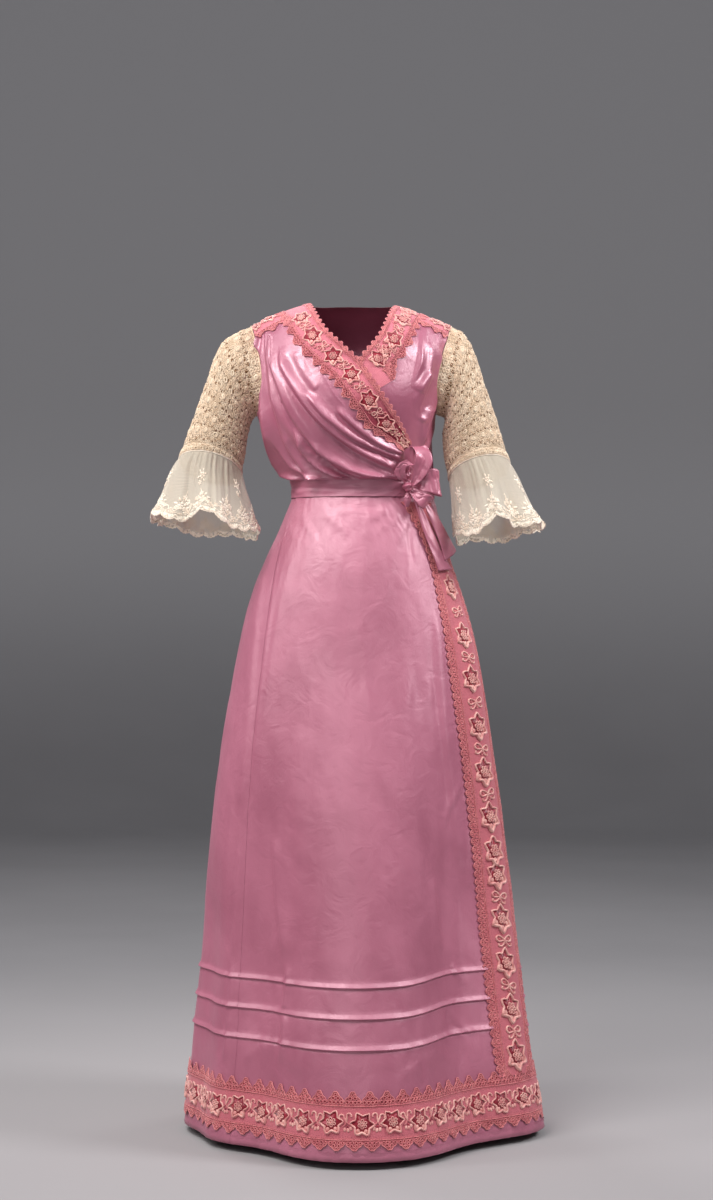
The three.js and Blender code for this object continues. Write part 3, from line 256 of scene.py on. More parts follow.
# Folds of the skirt's front: points on the grid, rise, widths on the line's two sides, dip.
SKIRT_CREASES = [
    ([(300, 507), (306, 522), (318, 540)], 1.6, 3, 7, 0.8),
    ([(322, 503), (332, 516), (350, 530)], 1.4, 3, 8, 0.6),
    ([(285, 520), (296, 534), (318, 546)], 1.3, 3, 8, 0.6),
    ([(404, 500), (388, 507), (366, 514)], 2.2, 6, 3, 1.1),
    ([(408, 505), (392, 516), (374, 530)], 2.0, 7, 3, 1.0),
    ([(414, 509), (404, 522), (396, 540)], 1.8, 6, 3, 1.0),
    ([(418, 514), (414, 535), (416, 560)], 1.4, 6, 3, 0.7),
    ([(352, 620), (365, 660), (370, 720)], 1.0, 9, 9, 0.0),
    ([(300, 720), (296, 800), (300, 870)], 1.2, 14, 9, 0.3),
    ([(436, 600), (441, 680), (452, 780), (462, 880)], 2.2, 12, 5, 0.8),
    ([(464, 790), (452, 808), (446, 830)], 1.8, 3, 6, 0.8),
    ([(405, 640), (410, 740), (418, 860), (424, 950)], 1.6, 10, 16, 0.2),
    ([(262, 560), (252, 640), (247, 720), (240, 820)], 1.8, 5, 12, 0.5),
    ([(252, 806), (247, 815), (243, 828)], 1.4, 2, 3, 0.8),
    ([(285, 962), (277, 900), (274, 840)], 2.4, 5, 12, 0.8),
    ([(283, 1010), (286, 990), (287, 968)], 3.2, 3, 8, 1.6),
    ([(279, 1060), (283, 1035), (284, 1014)], 3.0, 3, 8, 1.4),
    ([(231, 962), (233, 900), (238, 850)], 1.6, 4, 8, 0.6),
    ([(226, 1018), (229, 996), (230, 972)], 2.2, 3, 6, 1.0),
    ([(222, 1066), (225, 1040), (227, 1022)], 2.0, 3, 6, 1.0),
    ([(442, 960), (438, 920), (434, 880)], 2.0, 10, 4, 0.7),
    ([(470, 1000), (462, 990), (452, 974)], 1.6, 3, 7, 0.7),
    ([(474, 1044), (462, 1036), (448, 1022)], 1.6, 3, 7, 0.7),
    ([(240, 1064), (262, 1048), (280, 1046)], 1.2, 4, 8, 0.4),
    ([(395, 1072), (420, 1056), (445, 1052)], 1.2, 4, 8, 0.4),
]
tuck_lip = spline([-4, -2.6, -1.2, -0.1, 0.4, 1.4, 2.4, 8.0, 10.0, 12.5],
                  [0, -0.3, -0.5, -0.6, 2.4, 3.6, 3.4, 0.6, 0.3, 0])


def tuck_rise(height):
    """Each tuck is a fold of the cloth pressed down: its lip stands off, and its shadow lies below it."""
    return sum(tuck_lip(height - h) for h in TUCKS)


def skirt_crumples(angle, height):
    around = np.radians(angle) * 290
    free = smooth(height / 60) * smooth((SKIRT_TOP - height) / 60)
    out = 1.5 * crumple(around, height, 75, 1) + 0.6 * crumple(around, height, 31, 4)
    out = out * (0.35 + 0.65 * free)
    behind = smooth((np.abs((angle + 180) % 360 - 180) - 80) / 40)
    out = out + (0.3 + 0.7 * behind) * noise(around / 17, height / 420, 3) * smooth((height - 240) / 300)
    gathers = smooth((height - 980 + 260 * behind) / 110)
    phase = around / 7.5 + 3 * noise(around / 60, height / 200, 8)
    out = out + (0.15 + 1.3 * behind) * gathers * np.sin(phase)
    low = smooth((420 - height) / 300)
    hem = smooth((40 - height) / 20)
    out = out + (0.6 + 1.5 * low) * crumple(around * 1.1, height * 1.1, 30, 12)
    return out + 1.1 * (low * 0.6 + hem) * crumple(around * 1.2, height * 1.6, 13, 13)


def skirt_surface(angle, height, tucks=1.0):
    """The skirt's outer face, with its creases."""
    angle, height = np.broadcast_arrays(np.asarray(angle, float), np.asarray(height, float))
    base = base_skirt(angle, height)
    # Going round, the crumples run over into those at the start.
    out = lerp(skirt_crumples(angle, height), skirt_crumples(angle - 360, height), smooth((angle - 275) / 35))
    front = base[..., 1] < 0
    out = out + np.where(front, 1.2 * creases(base[..., 0], height, SKIRT_CREASES, 200), 0)
    pulled = fan(base[..., 0], height, (92, 1078), 7.0, 75.0, 15) * smooth((SKIRT_TOP + 4 - height) / 10)
    out = out + np.where(front, 4.0 * pulled, 0)
    seam = angle - seam_angle(height)
    out = out - 0.35 * np.exp(-(seam * 4.5 / 3) ** 2) + 0.5 * np.exp(-((seam * 4.5 - 8) / 6) ** 2)
    near_wrap = (angle + 180) % 360 - 180 - wrap_angle(height)
    out = out + tucks * tuck_rise(height) * smooth((np.abs(near_wrap) * 5.2 - 40) / 6)
    out = out + 12 * np.exp(-((near_wrap - 6) / 13) ** 2) * smooth((1000 - height) / 250)
    radius = np.stack([base[..., 0] - SECTION["middle"](height), base[..., 1], np.zeros_like(height)], -1)
    radius = radius / np.linalg.norm(radius, axis=-1, keepdims=True)
    moved = base + radius * out[..., None]
    # The skirt is caught up a little where it meets the front band.
    hitch = 7 * smooth((angle - 14) / 30) * smooth((wrap_angle(height) + 3 - angle) / 8)
    moved[..., 2] += hitch * smooth((height - 120) / 60) * smooth((420 - height) / 120)
    return moved


# ---------------------------------------------------------------- the torso's surface
FRONT_ROUND = 95.0
BACK_ROUND = 78.0
SHOULDER_HEIGHT = 1400.0


def ridge_height(x):
    """The height of the shoulder's ridge, which falls away beyond the neck."""
    past = np.abs(x - SECTION["middle"](SHOULDER_HEIGHT)) - 78
    return 1389 - 0.4 * (past + np.hypot(past, 25)) / 2


def torso_across(angle, height):
    return SECTION["middle"](height) + SECTION["half"](height) * signed_power(
        np.sin(np.radians(angle)), 2 / SECTION["power"](height))


def torso(angle, down):
    """A point of the torso by the angle round it and the distance down from the shoulder ridge."""
    angle, down = np.broadcast_arrays(np.asarray(angle, float), np.asarray(down, float))
    front = np.cos(np.radians(angle)) >= 0
    round_ = np.where(front, FRONT_ROUND, BACK_ROUND)
    turn = round_ * np.pi / 2
    bent = np.minimum(down, turn) / round_
    fall = np.where(down < turn, round_ * np.cos(bent), turn - down)
    x = torso_across(angle, SHOULDER_HEIGHT)
    for _ in range(3):
        x = torso_across(angle, ridge_height(x) - round_ + fall)
    height = ridge_height(x) - round_ + fall
    deep = np.where(front, SECTION["front"](height), SECTION["back"](height))
    y = -deep * signed_power(np.cos(np.radians(angle)), 2 / SECTION["power"](height)) * np.sin(bent)
    return np.stack([x, y, height], -1)


def down_to(x, height, front):
    """The distance down from the ridge of a place across and up."""
    round_ = FRONT_ROUND if front else BACK_ROUND
    below = ridge_height(x) - height
    curved = round_ * np.arccos(np.clip(1 - below / round_, -1, 1))
    return np.where(below < round_, curved, below - round_ + round_ * np.pi / 2)


def torso_front(x, height):
    """The angle and the distance down of a place seen from the front."""
    middle = SECTION["middle"](height)
    share = np.clip(np.abs(x - middle) / SECTION["half"](height), 0, 1)
    angle = np.sign(x - middle) * np.degrees(np.arcsin(share ** (SECTION["power"](height) / 2)))
    return angle, down_to(x, height, True)


def down_at_angle(angle, height, front=True):
    return down_to(torso_across(angle, height), height, front)


def edge_through(rows, ridge=False):
    """A panel's edge through rows of (share of its length, across, up); `ridge` starts it on the shoulder."""
    at = [r[0] for r in rows]
    places = [torso_front(float(r[1]), float(r[2])) for r in rows]
    downs = [float(p[1]) for p in places]
    if ridge:
        downs[0] = 0.01
    angle, down = spline(at, [float(p[0]) for p in places]), spline(at, downs)
    return lambda t: (angle(t), down(t))


ARM_TOP = {side: float(torso(side * 90.0, 0.01)[2]) for side in (-1, 1)}
ARM_LOW = 1204.0
WAIST = 1088.0
ARM_SHARE = 0.55


def armhole_place(side, turn):
    """The angle round the torso and the height of a place on the armhole, by the turn from its top."""
    middle = (ARM_TOP[side] + ARM_LOW) / 2
    height = middle + (ARM_TOP[side] - ARM_LOW) / 2 * np.cos(np.radians(turn))
    return side * (90 - 23 * np.sin(np.radians(turn))), height


def side_edge(side, front):
    """The armhole's edge from the shoulder down, and then the side seam."""
    def at(t):
        t = np.asarray(t, float)
        angle, height = armhole_place(side, front * np.clip(t, 0, ARM_SHARE) * 180 / ARM_SHARE)
        lower = lerp(ARM_LOW, WAIST, np.clip((t - ARM_SHARE) / (1 - ARM_SHARE), 0, 1))
        angle = np.where(t < ARM_SHARE, angle, side * 90.0)
        height = np.where(t < ARM_SHARE, height, lower)
        return angle, np.maximum(0.01, down_at_angle(angle, height, front > 0))
    return at


def panel(left, right, top, bottom, back=False):
    """Places on the torso between four edges; gives points of the torso for 0..1 across and down."""
    def turned(edge):
        angle, down = edge
        return (np.where(angle < 0, angle + 360, angle) if back else angle), down

    def at(s, t):
        s, t = np.broadcast_arrays(np.asarray(s, float), np.asarray(t, float))
        edges = [turned(edge) for edge in (left(t), right(t), top(s), bottom(s))]
        corners = [turned(edge) for edge in (left(0.0), left(1.0), right(0.0), right(1.0))]
        out = []
        for k in (0, 1):
            near, far, up, low = (edge[k] for edge in edges)
            near_up, near_low, far_up, far_low = (corner[k] for corner in corners)
            out.append((1 - s) * near + s * far + (1 - t) * up + t * low
                       - (1 - s) * ((1 - t) * near_up + t * near_low) - s * ((1 - t) * far_up + t * far_low))
        return torso(out[0], np.maximum(0.01, out[1]))

    return at


# The fronts' edges: share of the edge's length, across, up.
RIGHT_NECK = [(0, -89, 1384), (0.2, -60, 1345), (0.42, -19, 1301), (0.7, 33, 1237), (1, 90, 1142)]
RIGHT_HEM = [(0, 90, 1142), (0.25, 89, 1112), (0.45, 84, 1089), (0.7, 2, 1088)]
LEFT_NECK = [(0, 73, 1384), (0.25, 43, 1334), (0.5, 3, 1272), (0.7, 32, 1214), (1, 86, 1089)]


def front_right_panel():
    neck, side, hem = edge_through(RIGHT_NECK, True), side_edge(-1, 1), edge_through(RIGHT_HEM)

    def top(s):
        return lerp(-90.0, float(neck(0.0)[0]), s), np.full(np.shape(s), 0.01)

    def bottom(s):
        s = np.asarray(s, float)
        near = hem(1 - s)
        angle = lerp(-90.0, float(hem(0.7)[0]), np.clip(s / 0.3, 0, 1))
        far = down_at_angle(angle, WAIST)
        return np.where(1 - s < 0.7, near[0], angle), np.where(1 - s < 0.7, near[1], far)

    return panel(side, neck, top, bottom)


def front_left_panel():
    neck, side = edge_through(LEFT_NECK, True), side_edge(1, 1)

    def top(s):
        return lerp(float(neck(0.0)[0]), 90.0, s), np.full(np.shape(s), 0.01)

    def bottom(s):
        angle = lerp(float(neck(1.0)[0]), 90.0, np.asarray(s, float))
        return angle, down_at_angle(angle, WAIST)

    return panel(neck, side, top, bottom)


def back_panel():
    left, right = side_edge(-1, -1), side_edge(1, -1)

    def top(s):
        away = np.abs(np.asarray(s, float) - 0.5) * 2
        return lerp(90.0, 270.0, s), np.maximum(0.01, 15 * smooth((0.31 - away) * 6))

    def bottom(s):
        angle = lerp(90.0, 270.0, np.asarray(s, float))
        return angle, down_at_angle(angle, WAIST, False)

    return panel(right, left, top, bottom, back=True)


# ---------------------------------------------------------------- grids of points, and meshes
def grid_normals(p):
    n = np.cross(np.gradient(p, axis=0), np.gradient(p, axis=1))
    return n / np.maximum(np.linalg.norm(n, axis=-1, keepdims=True), 1e-9)


class Patch:
    """A grid of points on a face, indexed by two lengths u and v in mm, that motifs are laid on."""

    def __init__(self, p, u, v, flip=False):
        self.p, self.u, self.v = p, np.asarray(u, float), np.asarray(v, float)
        self.n = grid_normals(p) * (-1 if flip else 1)

    def at(self, u, v, lift=0.0):
        i = np.clip((u - self.u[0]) / (self.u[-1] - self.u[0]) * (len(self.u) - 1), 0, len(self.u) - 1.001)
        j = np.clip((v - self.v[0]) / (self.v[-1] - self.v[0]) * (len(self.v) - 1), 0, len(self.v) - 1.001)
        a, b = i.astype(int), j.astype(int)
        fa, fb = (i - a)[..., None], (j - b)[..., None]

        def mix(g):
            low = g[a, b] * (1 - fa) + g[a + 1, b] * fa
            high = g[a, b + 1] * (1 - fa) + g[a + 1, b + 1] * fa
            return low * (1 - fb) + high * fb

        n = mix(self.n)
        n = n / np.maximum(np.linalg.norm(n, axis=-1, keepdims=True), 1e-9)
        return mix(self.p) + n * np.asarray(lift)[..., None], n

    def face_away(self, centre):
        """Turns the patch to face away from a place."""
        if (self.n * (self.p - centre)).sum(-1).mean() < 0:
            self.n = -self.n


def to_row(p):
    """Places in the frame, in metres, of points in mm above the hem."""
    return (np.asarray(p, float).reshape(-1, 3) - (0, 0, ORIGIN_HEIGHT)) / 1000


def new_object(name, points, faces, material, uv=None):
    """A mesh from points in mm above the hem and lists of faces; uv is one place in mm for each point."""
    mesh = bpy.data.meshes.new(name)
    mesh.from_pydata(to_row(points).tolist(), [], faces)
    if uv is not None:
        layer = mesh.uv_layers.new(name="UVMap")
        index = np.empty(len(mesh.loops), int)
        mesh.loops.foreach_get("vertex_index", index)
        layer.data.foreach_set("uv", (np.asarray(uv, float).reshape(-1, 2)[index] / 1000).ravel())
    mesh.polygons.foreach_set("use_smooth", np.ones(len(mesh.polygons), bool))
    mesh.materials.append(material)
    obj = bpy.data.objects.new(name, mesh)
    bpy.context.scene.collection.objects.link(obj)
    return obj


def grid_faces(nu, nv, closed_u=False, flip=False):
    """The faces of a grid of points, as an array; `closed_u` joins its last column to its first."""
    i, j = np.meshgrid(np.arange(nu if closed_u else nu - 1), np.arange(nv - 1), indexing="ij")
    a, b = i * nv + j, ((i + 1) % nu) * nv + j
    quads = np.stack([a, b, b + 1, a + 1], -1).reshape(-1, 4)
    return quads[:, ::-1] if flip else quads


def flat_size(p, band=False):
    """The largest lengths of a grid along and across, and its area, in metres. A band's length is
    its middle's."""
    du = np.linalg.norm(np.diff(p, axis=0), axis=-1)
    dv = np.linalg.norm(np.diff(p, axis=1), axis=-1)
    a, b = p[1:, 1:] - p[:-1, :-1], p[:-1, 1:] - p[1:, :-1]
    area = 0.5 * np.linalg.norm(np.cross(a, b), axis=-1).sum()
    along = du.sum(0)[du.shape[1] // 2] if band else du.sum(0).max()
    return along / 1000, dv.sum(1).max() / 1000, area / 1e6


# The least share of a sheet's flat rectangle that its cut may fill.
LEAST_SHARE = 0.301


def cloth(name, p, material, nodes, uv=None, closed_u=False, flip=False, thick=0.0,
          band=False):
    """A sheet of cloth on a grid of points, whose cut's share is worked out but not used."""
    nu, nv = p.shape[:2]
    width, length, area = flat_size(np.concatenate([p, p[:1]]) if closed_u else p, band)
    obj = new_object(name, p, grid_faces(nu, nv, closed_u, flip).tolist(), material, uv)
    if thick:
        solid = obj.modifiers.new("thickness", "SOLIDIFY")
        solid.thickness = thick / 1000
        solid.offset = -1
    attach(obj, "root")
    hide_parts(*nodes)
    share = float(np.clip(area, LEAST_SHARE * width * length, width * length))
    return obj


def trim(name, points, faces, material):
    """A piece that isn't a sheet."""
    obj = new_object(name, points, faces, material)
    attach(obj, "root")
    return obj


# ---------------------------------------------------------------- materials
def linear(r, g, b):
    """A screen colour of 0 to 255 as Blender's linear light."""
    return [((c / 255 + 0.055) / 1.055) ** 2.4 if c > 10 else c / 255 / 12.92 for c in (r, g, b)] + [1.0]


class Nodes:
    """A material's nodes, made and joined in one call each."""

    def __init__(self, name):
        self.material = bpy.data.materials.new(name)
        self.material.use_nodes = True
        self.tree = self.material.node_tree
        self.shader = self.tree.nodes["Principled BSDF"]

    def add(self, kind, inputs=(), **settings):
        node = self.tree.nodes.new(kind)
        for key, value in settings.items():
            setattr(node, key, value)
        for key, value in dict(inputs).items():
            self.put(node.inputs[key], value)
        return node

    def put(self, socket, value):
        if isinstance(value, bpy.types.NodeSocket):
            self.tree.links.new(value, socket)
        else:
            socket.default_value = value

    def math(self, operation, a, b=0.0):
        return self.add("ShaderNodeMath", {0: a, 1: b}, operation=operation).outputs[0]

    def vector(self, operation, a, b=(0.0, 0.0, 0.0), output="Vector"):
        return self.add("ShaderNodeVectorMath", {0: a, 1: b}, operation=operation).outputs[output]

    def coordinates(self, kind):
        return self.add("ShaderNodeTexCoord").outputs[kind]

    def noise(self, place, scale, detail=2.0, output=0, **inputs):
        values = {"Vector": place, "Scale": scale, "Detail": detail, **inputs}
        return self.add("ShaderNodeTexNoise", values).outputs[output]

    def cells(self, place, scale, randomness=1.0, **settings):
        values = {"Vector": place, "Scale": scale, "Randomness": randomness}
        return self.add("ShaderNodeTexVoronoi", values, **settings).outputs[0]

    def stretched(self, place, scale):
        return self.add("ShaderNodeMapping", {"Vector": place, "Scale": scale}).outputs[0]

    def mix(self, share, a, b):
        node = self.add("ShaderNodeMix", data_type="RGBA")
        self.put(node.inputs[0], share)
        self.put(node.inputs[6], a)
        self.put(node.inputs[7], b)
        return node.outputs[2]

    def ramp(self, value, low, high):
        inputs = {0: value, 1: low, 2: high}
        return self.add("ShaderNodeMapRange", inputs, interpolation_type="SMOOTHSTEP").outputs[0]

    def bump(self, height, strength, distance, normal=None):
        inputs = {"Height": height, "Strength": strength, "Distance": distance}
        if normal is not None:
            inputs["Normal"] = normal
        return self.add("ShaderNodeBump", inputs).outputs[0]

    def set(self, **values):
        for key, value in values.items():
            self.put(self.shader.inputs[key.replace("_", " ")], value)


def satin_material(name, light, dark, crumples=1.0, rough=0.41):
    """Silk satin: a broad soft gloss, faint threads, small crumples and slow changes of tone."""
    m = Nodes(name)
    place = m.coordinates("Object")
    slow = m.noise(place, 6.0, 4.0, Distortion=0.6)
    streak = m.noise(m.stretched(place, (55.0, 55.0, 6.0)), 1.0, 4.0)
    tone = m.math("ADD", m.math("MULTIPLY", m.ramp(slow, 0.3, 0.7), 0.7), m.math("MULTIPLY", streak, 0.3))
    crease = m.noise(place, 24.0, 5.0, Roughness=0.5, Distortion=1.6)
    wander = m.vector("ADD", place, m.noise(place, 30.0, 3.0, output=1))
    crack = m.cells(wander, 13.0, feature="DISTANCE_TO_EDGE")
    thread = m.noise(m.stretched(place, (900.0, 900.0, 260.0)), 1.0)
    rumple = m.math("ADD", crease, m.math("MULTIPLY", m.ramp(crack, 0.0, 0.03), 0.10))
    soft = m.bump(rumple, 0.26 * crumples, 0.005)
    gloss = m.math("ADD", rough, m.math("MULTIPLY", streak, 0.14))
    m.set(Base_Color=m.mix(tone, dark, light), Roughness=gloss,
          Normal=m.bump(thread, 0.12, 0.0006, soft), Sheen_Weight=0.08, Sheen_Roughness=0.4,
          Sheen_Tint=linear(255, 214, 226), IOR=1.75, Specular_IOR_Level=1.0,
          Specular_Tint=linear(255, 222, 230), Anisotropic=0.3)
    return m.material


def thread_material(name, light, dark, rough=0.6, specular=0.3):
    """Embroidery thread or cord: fine ridges of thread and a slightly uneven colour."""
    m = Nodes(name)
    place = m.coordinates("Object")
    slow = m.noise(place, 95.0, 3.0)
    fine = m.noise(place, 420.0, 3.0)
    tone = m.math("ADD", m.math("MULTIPLY", m.ramp(slow, 0.35, 0.65), 0.6), m.math("MULTIPLY", fine, 0.4))
    m.set(Base_Color=m.mix(tone, dark, light), Roughness=rough, Normal=m.bump(fine, 0.5, 0.0008),
          Sheen_Weight=0.25, Specular_IOR_Level=specular)
    return m.material


def lace_ground(name, light, dark, deep=False):
    """The lace's own cloth: close stitches with small gaps, and a mesh of rings along its edges whose holes
    are painted dark, as painted shade.
    `deep` darkens it to crimson towards the bottom, from 1250 mm down to 1170 mm above the hem."""
    m = Nodes(name)
    uv = m.coordinates("UV")
    edge = m.add("ShaderNodeAttribute", attribute_name="edge").outputs["Fac"]
    fine = m.cells(uv, 430.0, 0.7, voronoi_dimensions="2D", feature="DISTANCE_TO_EDGE")
    rings = m.cells(uv, 210.0, 0.35, voronoi_dimensions="2D")
    slow = m.noise(uv, 120.0, 3.0)
    close = m.math("ADD", m.math("MULTIPLY", m.ramp(fine, 0.28, 0.04), 0.3), m.math("MULTIPLY", slow, 0.7))
    hole = m.math("MULTIPLY", m.ramp(rings, 0.30, 0.14), edge)
    colour = m.mix(close, dark, light)
    if deep:
        # Darker crimson towards the bottom, by height alone.
        up = m.add("ShaderNodeSeparateXYZ", {0: m.coordinates("Object")}).outputs[2]
        colour = m.mix(m.ramp(up, -0.12, -0.20), colour, linear(150, 46, 66))
    else:
        colour = m.mix(m.math("MULTIPLY", edge, 0.7), colour, linear(202, 108, 114))
    # Painted shade: the holes of the edge's rings are painted dark crimson for the shade seen through them.
    colour = m.mix(m.math("MULTIPLY", hole, 0.8), colour, linear(126, 42, 62))
    height = m.math("SUBTRACT", close, m.math("MULTIPLY", hole, 1.5))
    m.set(Base_Color=colour, Roughness=0.7, Normal=m.bump(height, 0.6, 0.0011), Sheen_Weight=0.25,
          Specular_IOR_Level=0.3)
    return m.material


# The crochet's pattern, in mm: from row to row, from motif to motif, from gap to gap, and the gaps' zigzag.
ROW_STEP, MOTIF_STEP, GAP_STEP, GAP_SWAY = 22.5, 19.6, 8.3, 1.7


def crochet_material():
    """Cotton crochet by uv places in metres: a close mesh of rings with rows of gaps, and the gaps painted
    brown as painted shade seen through them.
    """
    m = Nodes("crochet")
    uv = m.coordinates("UV")
    wander = m.vector("SUBTRACT", m.noise(uv, 60.0, output=1), (0.5, 0.5, 0.5))
    moved = m.vector("ADD", uv, m.vector("MULTIPLY", wander, (0.0012, 0.0012, 0.0)))
    across, up, _ = m.add("ShaderNodeSeparateXYZ", {0: moved}).outputs
    # Rows of gaps at each whole row, in a zigzag.
    column = m.math("DIVIDE", across, GAP_STEP / 1000)
    odd = m.math("MULTIPLY", m.math("FRACT", m.math("MULTIPLY", m.math("FLOOR", column), 0.5)), 4.0)
    sway = m.math("MULTIPLY", m.math("SUBTRACT", odd, 1.0), GAP_SWAY / 1000)
    row = m.math("DIVIDE", m.math("SUBTRACT", up, sway), ROW_STEP / 1000)
    dy = m.math("MULTIPLY", m.math("SUBTRACT", m.math("FRACT", m.math("ADD", row, 0.5)), 0.5), ROW_STEP / 1000)
    dx = m.math("MULTIPLY", m.math("SUBTRACT", m.math("FRACT", column), 0.5), GAP_STEP / 1000)
    away = m.math("SQRT", m.math("ADD", m.math("MULTIPLY", dx, dx), m.math("MULTIPLY", dy, dy)))
    reach = m.math("ADD", 0.0014, m.math("MULTIPLY", m.noise(uv, 110.0, 1.0), 0.0026))
    gap = m.ramp(m.math("SUBTRACT", away, reach), 0.0004, -0.0003)
    # Small gaps all over the mesh between.
    mesh = m.cells(uv, 265.0, 0.5, voronoi_dimensions="2D")
    pick = m.ramp(m.noise(uv, 130.0, 1.0), 0.44, 0.56)
    small = m.math("MULTIPLY", m.ramp(mesh, 0.30, 0.14), m.math("ADD", 0.25, m.math("MULTIPLY", pick, 0.6)))
    fine = m.noise(uv, 900.0, 3.0)
    slow = m.noise(uv, 40.0, 3.0)
    colour = m.mix(m.ramp(slow, 0.35, 0.68), linear(208, 180, 150), linear(230, 208, 182))
    # Painted shade: the small gaps are painted a shaded brown.
    colour = m.mix(m.math("MULTIPLY", small, 0.6), colour, linear(150, 112, 80))
    # Painted shade: the rows of gaps are painted brown; only their middles let a little light through.
    colour = m.mix(m.math("MULTIPLY", gap, 0.95), colour, linear(138, 98, 64))
    cut = m.ramp(m.math("SUBTRACT", away, m.math("MULTIPLY", reach, 0.45)), 0.0002, -0.0002)
    height = m.math("SUBTRACT", m.math("ADD", m.ramp(mesh, 0.2, 0.55), m.math("MULTIPLY", fine, 0.3)),
                    m.math("MULTIPLY", gap, 1.4))
    m.set(Base_Color=colour, Roughness=0.85, Alpha=m.math("SUBTRACT", 1.0, m.math("MULTIPLY", cut, 0.12)),
          Sheen_Weight=0.15, Normal=m.bump(height, 0.9, 0.002), Specular_IOR_Level=0.2)
    return m.material


def net_material():
    """Sheer cotton net of the flounces, by uv places in metres: v counts up from the hem."""
    m = Nodes("net")
    uv = m.coordinates("UV")
    up = m.add("ShaderNodeSeparateXYZ", {0: uv}).outputs[1]
    cells = m.cells(uv, 480.0, 0.5, voronoi_dimensions="2D", feature="DISTANCE_TO_EDGE")
    motif = m.math("MULTIPLY", m.ramp(up, 0.016, 0.008), m.ramp(m.noise(uv, 150.0), 0.40, 0.5))
    thread = m.ramp(cells, 0.14, 0.05)
    alpha = m.math("ADD", 0.38, m.math("MULTIPLY", thread, 0.36))
    alpha = m.math("MAXIMUM", alpha, m.math("MULTIPLY", motif, 0.97))
    m.set(Base_Color=m.mix(motif, linear(250, 237, 216), linear(250, 238, 220)), Roughness=0.8, Alpha=alpha,
          Normal=m.bump(m.math("ADD", motif, m.math("MULTIPLY", thread, 0.2)), 0.7, 0.0015),
          Sheen_Weight=0.3, Specular_IOR_Level=0.2)
    return m.material


def bead_material():
    """Glass beads."""
    m = Nodes("bead")
    m.set(Base_Color=linear(255, 226, 190), Roughness=0.2, Specular_IOR_Level=0.7, Coat_Weight=0.4)
    return m.material


SATIN = satin_material("satin", linear(186, 106, 130), linear(158, 80, 104))
DRAPED = satin_material("draped_satin", linear(186, 106, 130), linear(154, 76, 100), 0.8, 0.31)
SATIN_LIGHT = satin_material("ribbon", linear(190, 104, 128), linear(152, 70, 94), 0.6, 0.34)
GROUND = lace_ground("lace_ground", linear(206, 112, 122), linear(182, 88, 102))
NECK_GROUND = lace_ground("neck_lace_ground", linear(222, 130, 142), linear(196, 102, 118), deep=True)
CORD = thread_material("coral_cord", linear(222, 134, 134), linear(184, 94, 102))
CREAM = thread_material("cream_thread", linear(238, 184, 172), linear(206, 120, 120), 0.40, 0.5)
CRIMSON = thread_material("crimson_thread", linear(168, 34, 56), linear(124, 18, 40), 0.4, 0.4)
ROSE = thread_material("rose_thread", linear(214, 130, 130), linear(182, 86, 96), rough=0.5)
CROCHET = crochet_material()
CROCHET_CORD = thread_material("crochet_cord", linear(240, 216, 190), linear(212, 182, 152), rough=0.85)
ROSETTE = thread_material("rosette", linear(238, 218, 192), linear(212, 186, 158), rough=0.85)
NET = net_material()
LACE_CREAM = thread_material("lace_cream", linear(250, 238, 222), linear(230, 210, 188), rough=0.8)
BEAD = bead_material()


# ---------------------------------------------------------------- embroidery: cords and discs on a patch
# A cord's section, across and up; the highest dome that is left flat at its sides.
CORD_SECTION = [(-1.0, 0.0), (-0.55, 0.92), (0.55, 0.92), (1.0, 0.0)]
FLAT_DOME = 0.45


class Stitching:
    """Collects cords and filled shapes that lie on patches, and makes one object of them."""

    def __init__(self, ground=0.0):
        self.points, self.faces, self.count, self.ground = [], [], 0, ground

    def _add(self, points, *groups):
        self.points.append(points.reshape(-1, 3))
        for faces in groups:
            self.faces += (np.asarray(faces) + self.count).tolist()
        self.count += len(self.points[-1])

    def cord(self, patch, line, radius, rise=None, lift=0.0, closed=False):
        """A cord along places (u, v) of a patch."""
        line = np.asarray(line, float)
        centre, n = patch.at(line[:, 0], line[:, 1], lift + self.ground)
        if closed:
            along = np.roll(centre, -1, 0) - np.roll(centre, 1, 0)
        else:
            along = np.gradient(centre, axis=0)
        side = np.cross(along, n)
        side = side / np.maximum(np.linalg.norm(side, axis=1, keepdims=True), 1e-9)
        rise = radius if rise is None else rise
        radius, rise = (np.broadcast_to(size, len(line))[:, None] for size in (radius, rise))
        rings = np.stack([centre + side * a * radius + n * b * rise for a, b in CORD_SECTION], 1)
        self._add(rings, grid_faces(len(line), len(CORD_SECTION), closed))

    def disc(self, patch, outline, lift, dome=0.0):
        """A filled shape with an outline of places, its middle raised by `dome`."""
        outline = np.asarray(outline, float)
        middle = outline.mean(0, keepdims=True)
        lift = lift + self.ground
        edge, _ = patch.at(outline[:, 0], outline[:, 1], lift)
        low, _ = patch.at(outline[:, 0], outline[:, 1], self.ground)
        half = lerp(outline, middle, 0.5)
        inner, _ = patch.at(half[:, 0], half[:, 1], lift + dome * 0.8)
        top, _ = patch.at(middle[:, 0], middle[:, 1], lift + dome)
        k = len(outline)
        rings = [low, edge, inner] if dome > FLAT_DOME else [low, edge]
        last = k * (len(rings) - 1)
        i = np.arange(k)
        j = (i + 1) % k
        sides = [np.stack([i, j, j + k, i + k], -1) + step for step in range(0, last, k)]
        cap = np.stack([i + last, j + last, np.full(k, last + k)], -1)
        self._add(np.concatenate([*rings, top]), *sides, cap)

    def build(self, name, material, slot):
        return trim(name, np.concatenate(self.points), self.faces, material)


def circle(u, v, radius, count=10, stretch=1.0):
    a = np.linspace(0, 2 * np.pi, count, endpoint=False)
    return np.stack([u + radius * np.cos(a), v + radius * stretch * np.sin(a)], -1)


def arc(u, v, radius, start, end, count=9):
    a = np.radians(np.linspace(start, end, count))
    return np.stack([u + radius * np.cos(a), v + radius * np.sin(a)], -1)


